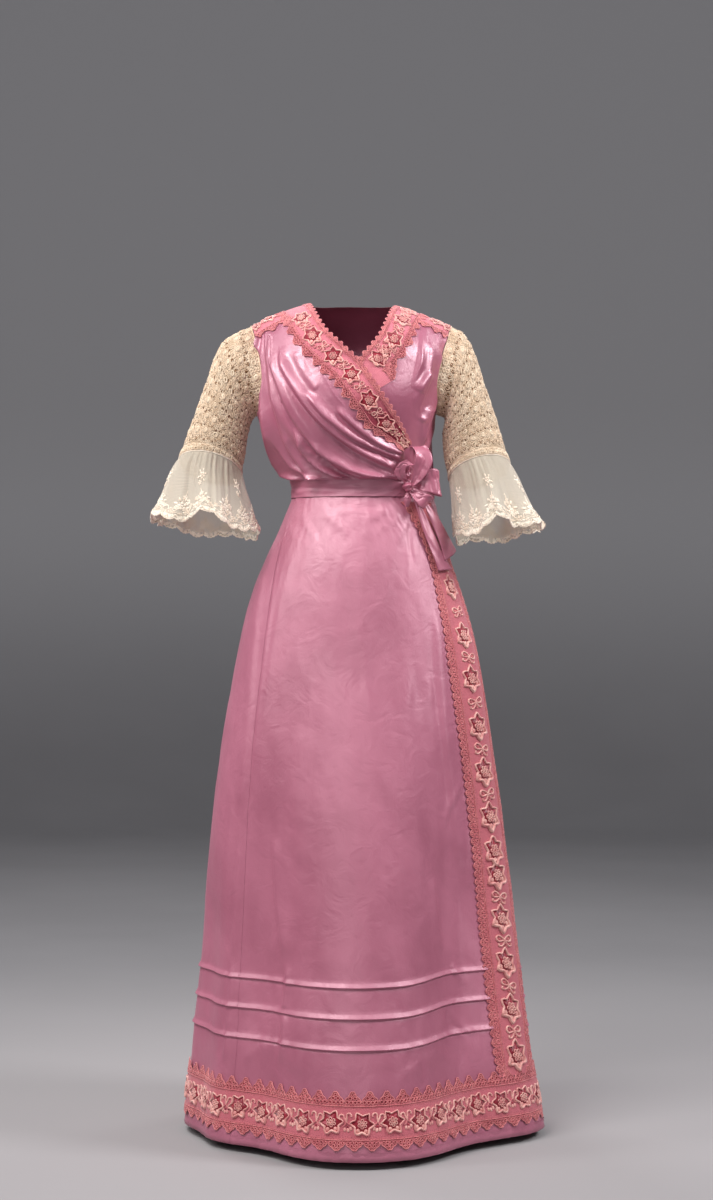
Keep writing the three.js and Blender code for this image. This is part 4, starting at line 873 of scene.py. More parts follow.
def placed(line, u, v, size, lean):
    """A motif's line, drawn about (0, 0) one unit large, at its place on a band."""
    a = math.radians(lean)
    x, y = line[:, 0] * size, line[:, 1] * size
    return np.stack([u + x * math.cos(a) - y * math.sin(a), v + x * math.sin(a) + y * math.cos(a)], -1)


def star_outline(size, turn, valley=0.66, sides=4):
    """Six points with rounded hollows between them, about (0, 0)."""
    a = np.radians(np.linspace(0, 360, 12 * sides, endpoint=False))
    reach = valley + (1 - valley) * (1 - np.abs(np.sin(3 * a))) ** 0.75
    reach = reach * size * (1 + 0.02 * rng.standard_normal(len(a)))
    a = a + math.radians(turn)
    return np.stack([reach * np.cos(a), reach * np.sin(a)], -1)


class LaceBand:
    """A band's threads, sorted by colour."""

    def __init__(self, patch):
        self.patch = patch
        self.cream, self.crimson, self.rose, self.cord = (Stitching(ground=1.3) for _ in range(4))

    def star(self, u, v, size, turn=0.0, down=-90.0, narrow=1.0):
        """A padded star: crimson points above, pale padded points below, a cord round all and a rosette.
        `down` is the angle from the band's length to the way that things hang; `narrow` is its width."""
        def put(line):
            return np.asarray(line) * (1, narrow) + (u, v)

        fat = size * 0.062
        outline = star_outline(size * 0.94, turn)
        way = np.array([math.cos(math.radians(down)), math.sin(math.radians(down))])
        thick = fat * (1 + 0.6 * smooth(outline @ way / size * 1.4 + 0.2))
        self.crimson.disc(self.patch, put(star_outline(size * 0.88, turn, sides=2)), 0.4, 0.2)
        self.cream.cord(self.patch, put(outline), thick, thick * 1.6, 0.3, closed=True)
        for k in range(6):
            a = math.radians(turn + 60 * k)
            along = np.array([math.cos(a), math.sin(a)])
            if along @ way < 0.4:
                continue
            t = np.linspace(0, 2 * np.pi, 9, endpoint=False)
            across = np.array([-along[1], along[0]])
            petal = size * ((0.60 + 0.17 * np.cos(t))[:, None] * along + 0.16 * np.sin(t)[:, None] * across)
            self.cream.disc(self.patch, put(petal), 0.9, 1.1)
        self.rose.disc(self.patch, put(circle(0, 0, size * 0.25, 12)), 1.3, 0.7)
        for k in range(6):
            a = math.radians(turn + 60 * k + 30)
            at = (size * 0.27 * math.cos(a), size * 0.27 * math.sin(a))
            ring = put(circle(*at, size * 0.10, 7))
            self.cream.cord(self.patch, ring, fat * 0.6, fat * 1.3, 1.3, closed=True)
            self.crimson.disc(self.patch, put(circle(*at, size * 0.05, 5)), 1.5, 0.1)
        self.cream.cord(self.patch, put(circle(0, 0, size * 0.11, 8)), fat * 0.6, fat * 1.0, 2.0, closed=True)

    def scroll(self, u, v, size, lean=0.0):
        """A pair of hooked scrolls above a small three-lobed spray, between two stars."""
        at = (u, v, size, lean)
        r = size * 0.080
        for side in (-1, 1):
            hook = arc(0.34 * side, 0.55, 0.22, 200 if side > 0 else -20, -30 if side > 0 else 210, 10)
            stem = np.array([(0.0, 0.0), (0.05 * side, 0.22), (0.12 * side, 0.45)])
            self.cream.cord(self.patch, placed(np.concatenate([stem, hook]), *at), r, r * 1.2, 0.3)
        for side in (-1, 0, 1):
            petal = circle(0.28 * side, -0.58 - 0.10 * (side == 0), 0.14, 8, 1.4)
            self.cream.disc(self.patch, placed(petal, *at), 0.6, 0.8)
        base = np.array([(-0.42, -0.30), (-0.2, -0.2), (0, 0.0), (0.2, -0.2), (0.42, -0.30)])
        self.rose.cord(self.patch, placed(rounded_line(base, 12), *at), r * 0.9, r, 0.3)
        self.crimson.disc(self.patch, placed(circle(0, -0.36, 0.10, 7), *at), 0.8, 0.4)

    def knot(self, u, v, size, lean=0.0):
        """A small bow of cord: two loops, two hooked tails and a spot between."""
        at = (u, v, size, lean)
        loop = [(0, 0), (0.25, 0.30), (0.62, 0.42), (0.82, 0.16), (0.66, -0.10), (0.3, -0.06), (0, 0)]
        tail = [(0, 0), (0.16, -0.28), (0.42, -0.52), (0.70, -0.50), (0.66, -0.30)]
        for side in (-1, 1):
            for line, count in ((loop, 16), (tail, 11)):
                line = rounded_line(np.array(line) * (side, 1), count)
                self.cream.cord(self.patch, placed(line, *at), size * 0.08, size * 0.12, 0.3)
            self.rose.disc(self.patch, placed(circle(0.46 * side, 0.14, 0.13, 7), *at), 0.6, 0.5)
        self.cream.disc(self.patch, placed(circle(0, 0, 0.13, 8), *at), 1.0, 0.7)
        ring = placed(circle(0, -0.42, 0.14, 8), *at)
        self.rose.cord(self.patch, ring, size * 0.06, size * 0.09, 0.3, closed=True)

    def border(self, us, v, radius=0.9):
        line = np.stack([us, np.full_like(us, v)], -1)
        self.rose.cord(self.patch, line, radius, radius * 1.5, 0.1)

    def rings(self, first, last, v, step, radius):
        """A row of small uneven rings of cord."""
        for k in range(int((last - first) / step)):
            size = radius * (1 + 0.12 * rng.standard_normal())
            at = circle(first + (k + 0.5) * step, v + 0.12 * radius * rng.standard_normal(), size, 8)
            self.rose.cord(self.patch, at, 0.8, 1.2, 0.1, closed=True)

    def point(self, u, v, half, height, down=1, sharp=1.0):
        """A scallop of small rings in a corded outline; `down` is the way that it points, -1 or 1."""
        x = np.linspace(-1, 1, 19)
        line = height * scallop_shape(np.abs(x), sharp)
        self.cord.cord(self.patch, np.stack([u + x * half, v + line * down], -1), 0.9, 1.2, 0.1)
        size = min(half, height * 0.8)
        for x, y, r in ((-0.66, 0.22, 0.19), (-0.2, 0.2, 0.19), (0.28, 0.2, 0.19), (0.72, 0.22, 0.18),
                        (-0.3, 0.53, 0.19), (0.28, 0.53, 0.19), (0.0, 0.8, 0.16)):
            at = (u + x * half, v + y * height * down)
            self.cord.cord(self.patch, circle(*at, r * size, 8), 0.7, 1.1, 0.1, closed=True)
            # Painted shade: a dark crimson disc fills each ring's eyelet, for the shade seen through it.
            self.crimson.disc(self.patch, circle(*at, r * size - 0.9, 6), 0.1, 0.0)

    def build(self, name):
        made = []
        for label, part, material in (("cream", self.cream, CREAM), ("crimson", self.crimson, CRIMSON),
                                      ("rose", self.rose, ROSE), ("cord", self.cord, CORD)):
            if part.count:
                made.append(part.build(f"{name}_{label}", material, "pink_lace"))
        return made


def scallop_shape(away, sharp):
    """The height of a scallop, 1 at its middle, with a small lobe on each side, over a strip of lace."""
    arch = (1 - away ** (1.25 / sharp)) * 0.85 + 0.15 * np.cos(away * np.pi / 2) ** 2
    return 0.22 + 0.78 * arch + 0.07 * np.sin(away * np.pi * 3) * smooth((1 - away) * 8)


def edge_scallops(us, pitch, inner, outer, sharp=1.0):
    """The edge of a band: a row of scallops between two distances."""
    away = np.abs(((us / pitch) % 1.0) - 0.5) * 2
    return inner + (outer - inner) * scallop_shape(away, sharp)


def band_ground(name, patch, us, lines, lift, nodes, material=GROUND):
    """The band's own cloth: strips between lines, each line a distance across for each place along.
    A band of four lines has an open edge on both sides, one of three on the first side only."""
    both = len(lines) == 4
    steps = [3, 7, 3] if both else [3, 8]
    v = [lines[0]]
    for (a, b), count in zip(zip(lines[:-1], lines[1:]), steps):
        v += [a + (b - a) * k / count for k in range(1, count + 1)]
    v = np.stack([np.broadcast_to(line, us.shape) for line in v], -1)
    u = np.repeat(us[:, None], v.shape[1], 1)
    p, _ = patch.at(u, v, lift)
    obj = cloth(name, p, material, nodes, uv=np.stack([u, v], -1),
                band=True)
    edge = np.zeros(v.shape)
    edge[:, :steps[0] + 1] = 1
    if both:
        edge[:, -steps[-1] - 1:] = 1
    obj.data.attributes.new("edge", "FLOAT", "POINT").data.foreach_set("value", edge.ravel())


# ---------------------------------------------------------------- skirt pieces
# Heights above a tuck that draw its lip, and the hem's turning: mm inwards and up, from its inner edge out.
TUCK_ROWS = (-3.8, -2.6, -1.2, -0.1, 0.4, 0.9, 1.4, 1.9, 2.4, 4.0, 6.0, 8.0, 9.0, 10.5, 12.4, 13.5)
HEM_TURN = ((1.6, 14.0), (2.0, 5.0), (1.2, -0.4))
HEM_MIDDLE = (8.0, 0.0, 0.0)


def skirt_rows():
    rows = [h for h in np.linspace(0, SKIRT_TOP, 130) if not any(-4 < h - t < 14 for t in TUCKS)]
    return np.array(sorted(rows + [t + d for t in TUCKS for d in TUCK_ROWS]))


def build_skirt():
    rows = skirt_rows()
    seam, wrap = seam_angle(rows), wrap_angle(rows)
    gores = (("skirt_front", 140, seam, wrap), ("skirt_back", 190, wrap, seam + 360))
    for name, columns, start, end in gores:
        angle = lerp(start[None, :], end[None, :], np.linspace(0, 1, columns)[:, None])
        p = skirt_surface(angle, np.repeat(rows[None, :], columns, 0))
        hem = p[:, :1]
        inward = HEM_MIDDLE - hem * (1, 1, 0)
        inward = inward / np.linalg.norm(inward, axis=-1, keepdims=True)
        turned = [hem + inward * into + np.array([0, 0, up]) for into, up in HEM_TURN]
        cloth(name, np.concatenate([*turned, p], 1), SATIN, [name])


def hem_patch():
    angles = np.linspace(-180, 180, 1801)
    line = skirt_surface(angles, np.full_like(angles, 59.0), 0)
    length = lengths_along(line)
    u = np.linspace(0, length[-1], 1500)
    v = np.linspace(4, 122, 60)
    p = skirt_surface(np.interp(u, length, angles)[:, None] + 0 * v[None, :], v[None, :] + 0 * u[:, None], 0)
    return Patch(p, u, v), length[-1]


def build_hem_lace():
    patch, total = hem_patch()
    count, points = 37, 66
    pitch, step = total / count, total / points
    band = LaceBand(patch)
    fine = np.linspace(0, total, 700)
    for v in (34.0, 86.0):
        band.border(fine, v, 0.8)
    for k in range(count):
        band.star((k + 0.5) * pitch, 60 + (1.2 if k % 2 else -1.2), STAR_TIP, turn=5.0 if k % 2 else -4.0)
        if k < count - 1:
            band.scroll((k + 1) * pitch, 61, 17.5, lean=10.0 if k % 2 else -10.0)
    for k in range(points):
        band.point((k + 0.5) * step, 87.5, step * 0.49, 20.0, 1, 0.75)
        band.point((k + 0.5) * step, 32.5, step * 0.49, 14.0, -1, 0.6)
    pieces = band.build("hem_lace")
    us = np.linspace(0, total, 1050)
    near = edge_scallops(us, step, 31.5, 17.5, 0.6)
    far = edge_scallops(us, step, 88.5, 108.0, 0.75)
    band_ground("hem_lace", patch, us, [near, 33.0, 87.0, far], 1.3, ["hem_lace"])


def front_patch():
    """The vertical band: u runs up from the hem lace, v across towards the wearer's left."""
    u = np.linspace(96, 1052, 520)
    v = np.linspace(-54, 54, 48)
    angles = np.empty((len(u), len(v)))
    for i, h in enumerate(u):
        a = np.linspace(wrap_angle(h) - 75, wrap_angle(h) + 75, 451)
        line = base_skirt(a, np.full_like(a, h))
        length = lengths_along(line)
        length -= np.interp(wrap_angle(h), a, length)
        angles[i] = np.interp(v * (1 - 0.30 * smooth((h - 780) / 240)), length, a)
    p = skirt_surface(angles, u[:, None] + 0 * v[None, :], 0)
    # u up and v to the left of the wearer: the outward normal is the other way round.
    return Patch(p, u, v, flip=True)


def build_front_lace():
    patch = front_patch()
    band = LaceBand(patch)
    fine = np.linspace(98, 1050, 330)
    for v in (-29.0, 29.0):
        band.border(fine, v, 0.9)
    # Heights of the stars, from the hem lace up to the bow; one pair of them stands close together.
    stars = [130, 204, 279, 354, 428, 469, 526, 601, 677, 756, 828, 908, 980]
    for h in stars:
        band.star(h, -2, 26.5 - 4.5 * smooth((h - 500) / 400), turn=0.0, down=180.0, narrow=0.82)
    for k, (a, b) in enumerate(zip(stars[:-1], stars[1:])):
        if b - a > 60:
            band.knot((a + b) / 2, -1, 18.5 - 3 * smooth((a - 500) / 400), lean=-90.0 + (12 if k % 2 else -8))
    low, high, step = 104, 1044, 13.4
    for side in (-1, 1):
        band.rings(low, high, side * 34.5, 8.6, 3.1)
        band.border(fine, side * 39.0, 0.7)
        for k in range(int((high - low) / step)):
            h = low + (k + 0.5) * step
            band.cord.cord(patch, arc(h, side * 39.5, step * 0.46, 0, 180 * side), 0.8, 1.2, 0.1)
            band.cord.cord(patch, circle(h, side * 42.5, 2.2, 7), 0.6, 1.0, 0.1, closed=True)
    pieces = band.build("front_lace")
    us = np.linspace(98, 1050, 700)
    edge = edge_scallops(us - low, step, 39.5, 47.0, 0.5)
    lines = [-edge, -30.0, 30.0, edge]
    band_ground("front_lace", patch, us, lines, 1.5, ["front_lace"])


def build_waistband():
    angle = np.linspace(0, 360, 361)[:-1]
    rows = np.linspace(1059.5, 1089, 16)
    a, h = np.meshgrid(angle, rows, indexing="ij")
    around = np.radians(a) * 115
    t = (h - rows[0]) / (rows[-1] - rows[0])
    out = 2.2 + 1.0 * np.sin(np.pi * t) + 0.7 * noise(around / 30, h / 6, 21)
    out = out + 0.5 * crumple(around, h * 4, 20, 22)
    out = out - 0.8 * np.exp(-((t - 0.45 - 0.1 * noise(around / 50, 0 * h, 2)) / 0.08) ** 2)
    front = np.cos(np.radians(a)) > 0
    p = plain_ring(a, h)
    out = out + np.where(front, 2.0 * fan(p[..., 0], h * 2.4 - 1508, (92, 1077), 6.0, 90.0, 24), 0)
    radial = p - np.stack([SECTION["middle"](h), 0 * h, h], -1)
    radial = radial / np.linalg.norm(radial, axis=-1, keepdims=True)
    p = p + radial * out[..., None]
    cloth("waistband", p, SATIN, ["waistband"], closed_u=True)


# ---------------------------------------------------------------- bodice
RIGHT_FOLDS = [
    ([(258, 332), (259, 360), (264, 400), (273, 440), (286, 474), (300, 490)], 4.5, 7, 4, 1.5),
    ([(268, 334), (270, 362), (277, 404), (291, 446), (318, 478), (345, 488)], 5.5, 9, 5, 1.5),
    ([(274, 344), (277, 368), (289, 402), (308, 432), (337, 461), (371, 478), (403, 485)], 9.0, 13, 4, 3.0),
    ([(281, 342), (286, 366), (302, 396), (326, 424), (356, 446), (384, 460), (404, 468)], 6.5, 11, 4, 2.0),
    ([(307, 392), (326, 414), (352, 434), (380, 448), (404, 458)], 6.0, 9, 3.5, 2.0),
    ([(336, 408), (356, 426), (380, 442), (404, 452)], 5.0, 8, 3, 1.8),
    ([(310, 436), (330, 454), (358, 468), (384, 475), (404, 478)], 4.5, 6, 3, 1.5),
    ([(296, 424), (306, 446), (324, 466), (352, 482), (402, 492)], 4.5, 7, 3.5, 1.5),
    ([(285, 430), (296, 452), (312, 472), (330, 484)], 2.5, 6, 3, 0.8),
    ([(298, 482), (330, 489), (370, 492), (402, 493)], 2.4, 5, 3, 0.8),
    ([(295, 350), (304, 372), (318, 392)], 1.8, 8, 5, 0.3),
]
LEFT_FOLDS = [
    ([(428, 336), (431, 356), (425, 380), (412, 404), (400, 420)], 3.6, 8, 6, 0.8),
    ([(436, 338), (440, 362), (436, 392), (428, 420), (420, 446)], 4.2, 4, 8, 1.3),
    ([(443, 340), (445, 370), (440, 402), (432, 432), (424, 456)], 3.2, 3, 6, 1.0),
    ([(398, 398), (410, 391), (420, 383), (430, 370)], 3.0, 5, 9, 0.8),
    ([(402, 408), (412, 414), (424, 420)], 2.4, 6, 3, 1.0),
    ([(408, 434), (418, 424), (430, 404)], 2.6, 4, 6, 0.8),
]


def lifted(base, s, t, out, sideways=-0.8):
    """A panel's points moved off the torso. Columns run towards the wearer's left."""
    p = base(s, t)
    n = grid_normals(p)
    if n[..., 1].mean() > 0 and sideways < 0 or n[..., 1].mean() < 0 and sideways > 0:
        n = -n
    return p + n * out(p)[..., None] + np.array([0, sideways, 0])


DRAPE_EDGE = [(272, 336), (277, 368), (289, 402), (308, 432), (337, 461), (371, 478), (405, 486)]
SIDE_LINE = [(254, 334), (252, 370), (255, 410), (264, 450), (282, 482), (330, 494), (405, 497)]
BAND_LINE = [(312, 330), (326, 352), (343, 378), (362, 404), (380, 426), (396, 446), (408, 462)]


def right_lift(p, s, t):
    x, h = p[..., 0], p[..., 2]
    away = (1 - s) * 150.0
    fold = creases(x, h, RIGHT_FOLDS, 130)
    # Long pleats below the drape's edge, and softer pulled folds above it.
    across, share = between(x, h, DRAPE_EDGE, SIDE_LINE, 130)
    inside = smooth(across / 0.12) * smooth((1.15 - across) / 0.2)
    fold = fold + inside * 8.0 * ridges(across * 4.5, share * 1.2, 35)
    fold = fold + inside * 2.0 * ridges(across * 10, share * 2, 36)
    across, share = between(x, h, DRAPE_EDGE, BAND_LINE, 130)
    inside = smooth(across / 0.15) * smooth((1.0 - across) / 0.2) * smooth((share - 0.05) / 0.2)
    fold = fold + inside * 3.6 * ridges(across * 2.6, share * 1.6, 37)
    fold = fold + inside * ridges(across * 6, share * 2.6, 38)
    fold = fold + 5.0 * fan(x, h, (84, 1080), 8.0, 60.0, 39)
    under_lace = smooth((away - 30) / 22)
    converge = smooth((x - 40) / 50) * smooth((1170 - h) / 40)
    held = smooth((t - 0.12) / 0.05) * smooth((1 - t) / 0.03 + 0.2) * smooth(s / 0.05)
    edge = 5 * smooth(s / 0.5) * smooth(t / 0.08)
    fine = 0.8 * crumple(x, h, 32, 31) + 0.25 * crumple(x, h, 14, 33)
    fold = 1.45 * fold * np.maximum(under_lace, 0.6 * converge)
    return edge + (fold + fine * (0.3 + 0.7 * under_lace)) * held


ARM_LINE = [(452, 335), (455, 370), (452, 405), (444, 440), (436, 470)]
CROSS_LINE = [(418, 330), (416, 356), (409, 380), (398, 404), (404, 430)]


def left_lift(p, s, t):
    x, h = p[..., 0], p[..., 2]
    fold = creases(x, h, LEFT_FOLDS, 110)
    across, share = between(x, h, CROSS_LINE, ARM_LINE, 110)
    inside = smooth(across / 0.1) * smooth((1.05 - across) / 0.2)
    fold = fold + inside * 4.0 * ridges(across * 2.8, share * 0.6, 44)
    fold = fold + inside * 1.2 * ridges(across * 6, share * 1.2, 45)
    held = smooth((t - 0.12) / 0.05) * smooth((1 - t) / 0.05) * smooth((1 - s) / 0.05)
    clear = smooth((s * 110 - 44) / 20)
    fine = 0.6 * crumple(x, h, 30, 41) + 0.2 * crumple(x, h, 14, 43)
    return (1.1 * fold * clear + fine * (0.3 + 0.7 * clear)) * held


def back_lift(p, s, t):
    x, h = p[..., 0], p[..., 2]
    held = smooth((t - 0.2) / 0.3) * smooth((1 - t) / 0.06)
    pleats = 3.4 * ridges(s * 9, t * 1.5, 50) * smooth((t - 0.4) / 0.4)
    return (pleats + 1.0 * crumple(x, h, 34, 51)) * held + 0.4 * crumple(x, h, 16, 52)


FRONT_RIGHT, FRONT_LEFT, BACK = front_right_panel(), front_left_panel(), back_panel()


def panel_points(which, s, t):
    base, lift, sideways = {
        "right": (FRONT_RIGHT, right_lift, -0.8),
        "left": (FRONT_LEFT, left_lift, -0.8),
        "back": (BACK, back_lift, 0.8),
    }[which]
    return lifted(base, s, t, lambda p: lift(p, s, t), sideways)


def build_bodice():
    # The lace, not the silk, makes the neck's edge, so the fronts stop short of it.
    for name, which, nu, nv, s0, s1 in (
            ("bodice_front_right", "right", 165, 150, 0.0, 0.972),
            ("bodice_front_left", "left", 95, 110, 0.035, 1.0),
            ("bodice_back", "back", 110, 90, 0.0, 1.0)):
        s, t = np.meshgrid(np.linspace(s0, s1, nu), np.linspace(0, 1, nv), indexing="ij")
        p = panel_points(which, s, t)
        cloth(name, p, DRAPED, [name], flip=True)


def nearest(base, s, t, target, rounds=8):
    """The s and t of a panel whose points lie nearest to the wanted points."""
    step = 1e-3
    for _ in range(rounds):
        p = base(s, t)
        ps, pt = (base(s + step, t) - p) / step, (base(s, t + step) - p) / step
        off = target - p
        a, b, c = (ps * ps).sum(-1), (ps * pt).sum(-1), (pt * pt).sum(-1)
        d, f = (ps * off).sum(-1), (pt * off).sum(-1)
        det = a * c - b * b + 1e-9
        s = s + np.clip((c * d - b * f) / det, -0.08, 0.08)
        t = np.clip(t + np.clip((a * f - b * d) / det, -0.05, 0.05), 0.001, 0.999)
    return s, t


def panel_patch(which, free, t_range, reach, taper, nu=300, nv=44):
    """Lace places on a bodice panel: u runs along the free edge, v in from it, square to it."""
    base = {"right": FRONT_RIGHT, "left": FRONT_LEFT}[which]
    t = np.linspace(*t_range, 400)
    edge = base(np.full(400, float(free)), t)
    length = lengths_along(edge)
    u = np.linspace(0, length[-1], nu)
    v = np.linspace(*reach, nv)
    line = np.stack([np.interp(u, length, edge[:, k]) for k in range(3)], -1)
    tu = np.interp(u, length, t)
    inside = base(np.full(nu, free + (0.04 if free == 0 else -0.04)), tu)
    along = np.gradient(line, axis=0)
    along = along / np.linalg.norm(along, axis=1, keepdims=True)
    square = inside - line
    square = square - (square * along).sum(1, keepdims=True) * along
    square = square / np.linalg.norm(square, axis=1, keepdims=True)
    width = (v[None, :] * taper(u / length[-1])[:, None])[..., None]
    target = line[:, None] + square[:, None] * width
    s0 = np.full((nu, nv), float(free)) + (0.002 if free == 0 else -0.002) * v[None, :]
    s, t = nearest(base, s0, np.repeat(tu[:, None], nv, 1), target)
    return s, t, u, v, length[-1]


def neck_band(which, free, t_range, stars, knots, taper):
    """The lace along one front's neckline; gives its patch."""
    name = f"neck_lace_{which}"
    s, t, u, v, length = panel_patch(which, free, t_range, (-14, 58), taper)
    p = panel_points(which, s, t)
    patch = Patch(p, u, v)
    if patch.n[..., 1].mean() > 0:
        patch.n = -patch.n
    band = LaceBand(patch)
    right = which == "right"
    fine = np.linspace(2, length - 2, 300)
    for edge in (6.0, 41.0):
        band.border(fine, edge, 0.8)
    for at in stars:
        band.star(at, 23.5, 17.4, turn=15.0, down=180.0 if right else 0.0)
    for at in knots:
        band.knot(at, 23.5, 11.0, lean=-90.0 if right else 90.0)
        band.rose.cord(patch, circle(at - 9, 13.5, 2.6, 8), 0.8, 1.2, 0.3, closed=True)
        band.rose.cord(patch, circle(at + 8, 33.0, 2.6, 8), 0.8, 1.2, 0.3, closed=True)
    step = length / round(length / 12)
    for k in range(round(length / step)):
        band.point((k + 0.5) * step, 5.0, step * 0.49, 8.0, -1, 0.5)
    wide = length / round(length / 21)
    for k in range(round(length / wide)):
        band.point((k + 0.5) * wide, 42.0, wide * 0.49, 14.0, 1, 0.6)
    if not right:
        # The end of the band widens where the other front crosses it.
        band.star(147, 26, 11.5, turn=15.0, down=0.0)
        for at, across in ((137, 36), (160, 33), (150, 12), (166, 22)):
            band.knot(at, across, 7.5, lean=60.0)
    pieces = band.build(name)
    us = np.linspace(0, length, 320)
    near = edge_scallops(us, step, 4.5, -3.5, 0.5)
    far = edge_scallops(us, wide, 42.5, 56.5, 0.6)
    lines = [near, 5.5, 41.5, far]
    band_ground(name, patch, us, lines, 1.0, [name], NECK_GROUND)
    return patch


def shoulder_band(name, which, s_range, deep, low, stars, scrolls, knots):
    """The lace over a shoulder or round the back of the neck. A motif is (share of the length, across,
    size) and, for a star, its turn."""
    nu, nv = 200, 30
    v = np.linspace(-2, deep + 4, nv)
    s = np.linspace(*s_range, nu)[:, None] + np.zeros((1, nv))
    t = 0.004 + (deep - np.clip(v, -2, deep))[None, :] / 300 + np.zeros((nu, 1))
    p = panel_points(which, s, t)
    length = float(lengths_along(p[:, nv // 2])[-1])
    patch = Patch(p, np.linspace(0, length, nu), v)
    patch.face_away(p.mean((0, 1)) - (0, 0, 60))
    band = LaceBand(patch)
    for k, (share, across, size, turn) in enumerate(stars):
        band.star(share * length, across, size, turn=turn)
        if k < len(scrolls):
            band.scroll(scrolls[k] * length, deep * 0.56, 11.0)
    for share, across, size in knots:
        band.knot(share * length, across, size)
    count = max(2, round(length / 21))
    for k in range(count):
        band.point((k + 0.5) * length / count, low, length / count * 0.48, low - 1, -1)
    band.border(np.linspace(1, length - 1, 120), low, 0.7)
    pieces = band.build(name)
    us = np.linspace(0, length, 260)
    near = edge_scallops(us, length / count, low - 1, 1.0, 0.8)
    band_ground(name, patch, us, [near, low, float(deep)], 1.0, [name], NECK_GROUND)


def build_neck_lace():
    right = neck_band("right", 1.0, (0.985, 0.012),
                      [16, 58, 106, 155, 203, 250, 292], [36, 82, 131, 179, 227, 272],
                      lambda share: lerp(0.42, 1.0, smooth(share / 0.22)))
    neck_band("left", 0.0, (0.012, 0.66), [30, 76, 124, 166], [53, 101, 146], np.ones_like)
    deep, count = 44, 7
    shoulder_band("neck_lace_back", "back", (0.02, 0.98), deep, 12.0,
                  [((k + 0.5) / count, deep * 0.56, 13.5, 15.0) for k in range(count)],
                  [(k + 1) / count for k in range(count - 1)], [])
    for which, s_range, stars, knot in (("right", (0.02, 0.66), (0.20, 0.64), 0.42),
                                        ("left", (0.34, 0.98), (0.80, 0.36), 0.58)):
        shoulder_band(f"shoulder_lace_{which}", which, s_range, 46, 10.0,
                      [(stars[0], 27, 12.5, 15.0), (stars[1], 28, 12.5, 30.0)], [], [(knot, 27, 9.0)])
    return right


# ---------------------------------------------------------------- sleeves
FLOUNCE_SEED = {"right": 71, "left": 77}
# ring, outermost point across and up, innermost across and up, half depth, forward, tilt
SLEEVES = {
    "right": [
        (1, 199, 1343, 173, 1199, 55, 1, 0), (2, 225, 1325, 179, 1190, 57, 2, 2),
        (3, 241, 1296, 183, 1177, 57, 4, 5), (4, 253, 1260, 186, 1163, 56, 6, 9),
        (5, 265, 1225, 188, 1148, 55, 9, 13), (6, 277, 1190, 190, 1133, 54, 12, 17),
        (7, 289, 1155, 193, 1117, 53, 16, 21), (8, 300, 1121, 195, 1101, 53, 20, 25)],
    "left": [
        (1, 181, 1341, 151, 1197, 55, 1, 0), (2, 197, 1314, 150, 1186, 57, 3, 2),
        (3, 208, 1281, 147, 1172, 57, 6, 5), (4, 218, 1249, 147, 1157, 56, 9, 9),
        (5, 229, 1215, 148, 1142, 55, 12, 13), (6, 239, 1182, 150, 1127, 54, 15, 17),
        (7, 249, 1147, 153, 1110, 53, 19, 21), (8, 259, 1114, 157, 1094, 53, 23, 25)],
}
FLOUNCES = {
    "right": [
        (0, 300, 1121, 195, 1101, 53, 20, 25), (1, 316, 1093, 188, 1073, 62, 24, 24),
        (2, 328, 1062, 178, 1045, 72, 27, 22), (3, 338, 1038, 171, 1022, 80, 29, 20),
        (4, 346, 1016, 165, 998, 86, 30, 18)],
    "left": [
        (0, 259, 1114, 157, 1094, 53, 23, 25), (1, 276, 1084, 160, 1066, 61, 28, 24),
        (2, 290, 1054, 163, 1038, 69, 32, 22), (3, 303, 1028, 165, 1014, 76, 35, 20),
        (4, 314, 1004, 166, 990, 81, 37, 18)],
}


def ring_point(rows, side, ring, turn, swell=0.0):
    """A point of a sleeve by the ring down it and the turn round it, moved out by `swell`."""
    ring, turn = np.broadcast_arrays(np.asarray(ring, float), np.asarray(turn, float))
    get = [spline([r[0] for r in rows], [r[k] for r in rows])(ring) for k in range(1, 8)]
    out_x, out_h, in_x, in_h, depth, forward, tilt = get
    out = np.stack([side * out_x, 0 * ring, out_h], -1)
    inner = np.stack([side * in_x, 0 * ring, in_h], -1)
    middle = (out + inner) / 2
    reach = out - middle
    across = np.linalg.norm(reach, axis=-1, keepdims=True)
    reach = reach * (across + np.asarray(swell)[..., None]) / across
    c, s = np.cos(np.radians(turn)), np.sin(np.radians(turn))
    p = middle + reach * c[..., None]
    p[..., 1] = -forward - (depth + swell) * s
    p[..., 2] += tilt * s
    return p


def armhole_point(side, turn):
    """A point of the sleeve's upper edge, set into the armhole."""
    angle, height = armhole_place(side, turn)
    front = np.sin(np.radians(turn)) >= 0
    down = np.where(front, down_at_angle(angle, height, True), down_at_angle(angle, height, False))
    p = torso(angle, np.maximum(0.01, down))
    p[..., 0] += side * 0.9
    p[..., 1] += np.where(front, -0.8, 0.8)
    return p


def sleeve_surface(name, side, ring, turn):
    """The crochet sleeve, with a low cord round it above the flounce."""
    ring, turn = np.broadcast_arrays(np.asarray(ring, float), np.asarray(turn, float))
    arm = 0.7 * noise(turn / 22, ring * 1.6, 61) + 0.9 * np.exp(-((ring - 7.85) / 0.12) ** 2)
    low = ring_point(SLEEVES[name], side, np.maximum(ring, 1), turn, arm)
    near = armhole_point(side, turn)
    t = np.clip(ring, 0, 1)[..., None]
    return np.where(ring[..., None] < 1, near * (1 - t) + ring_point(SLEEVES[name], side, 1, turn) * t, low)


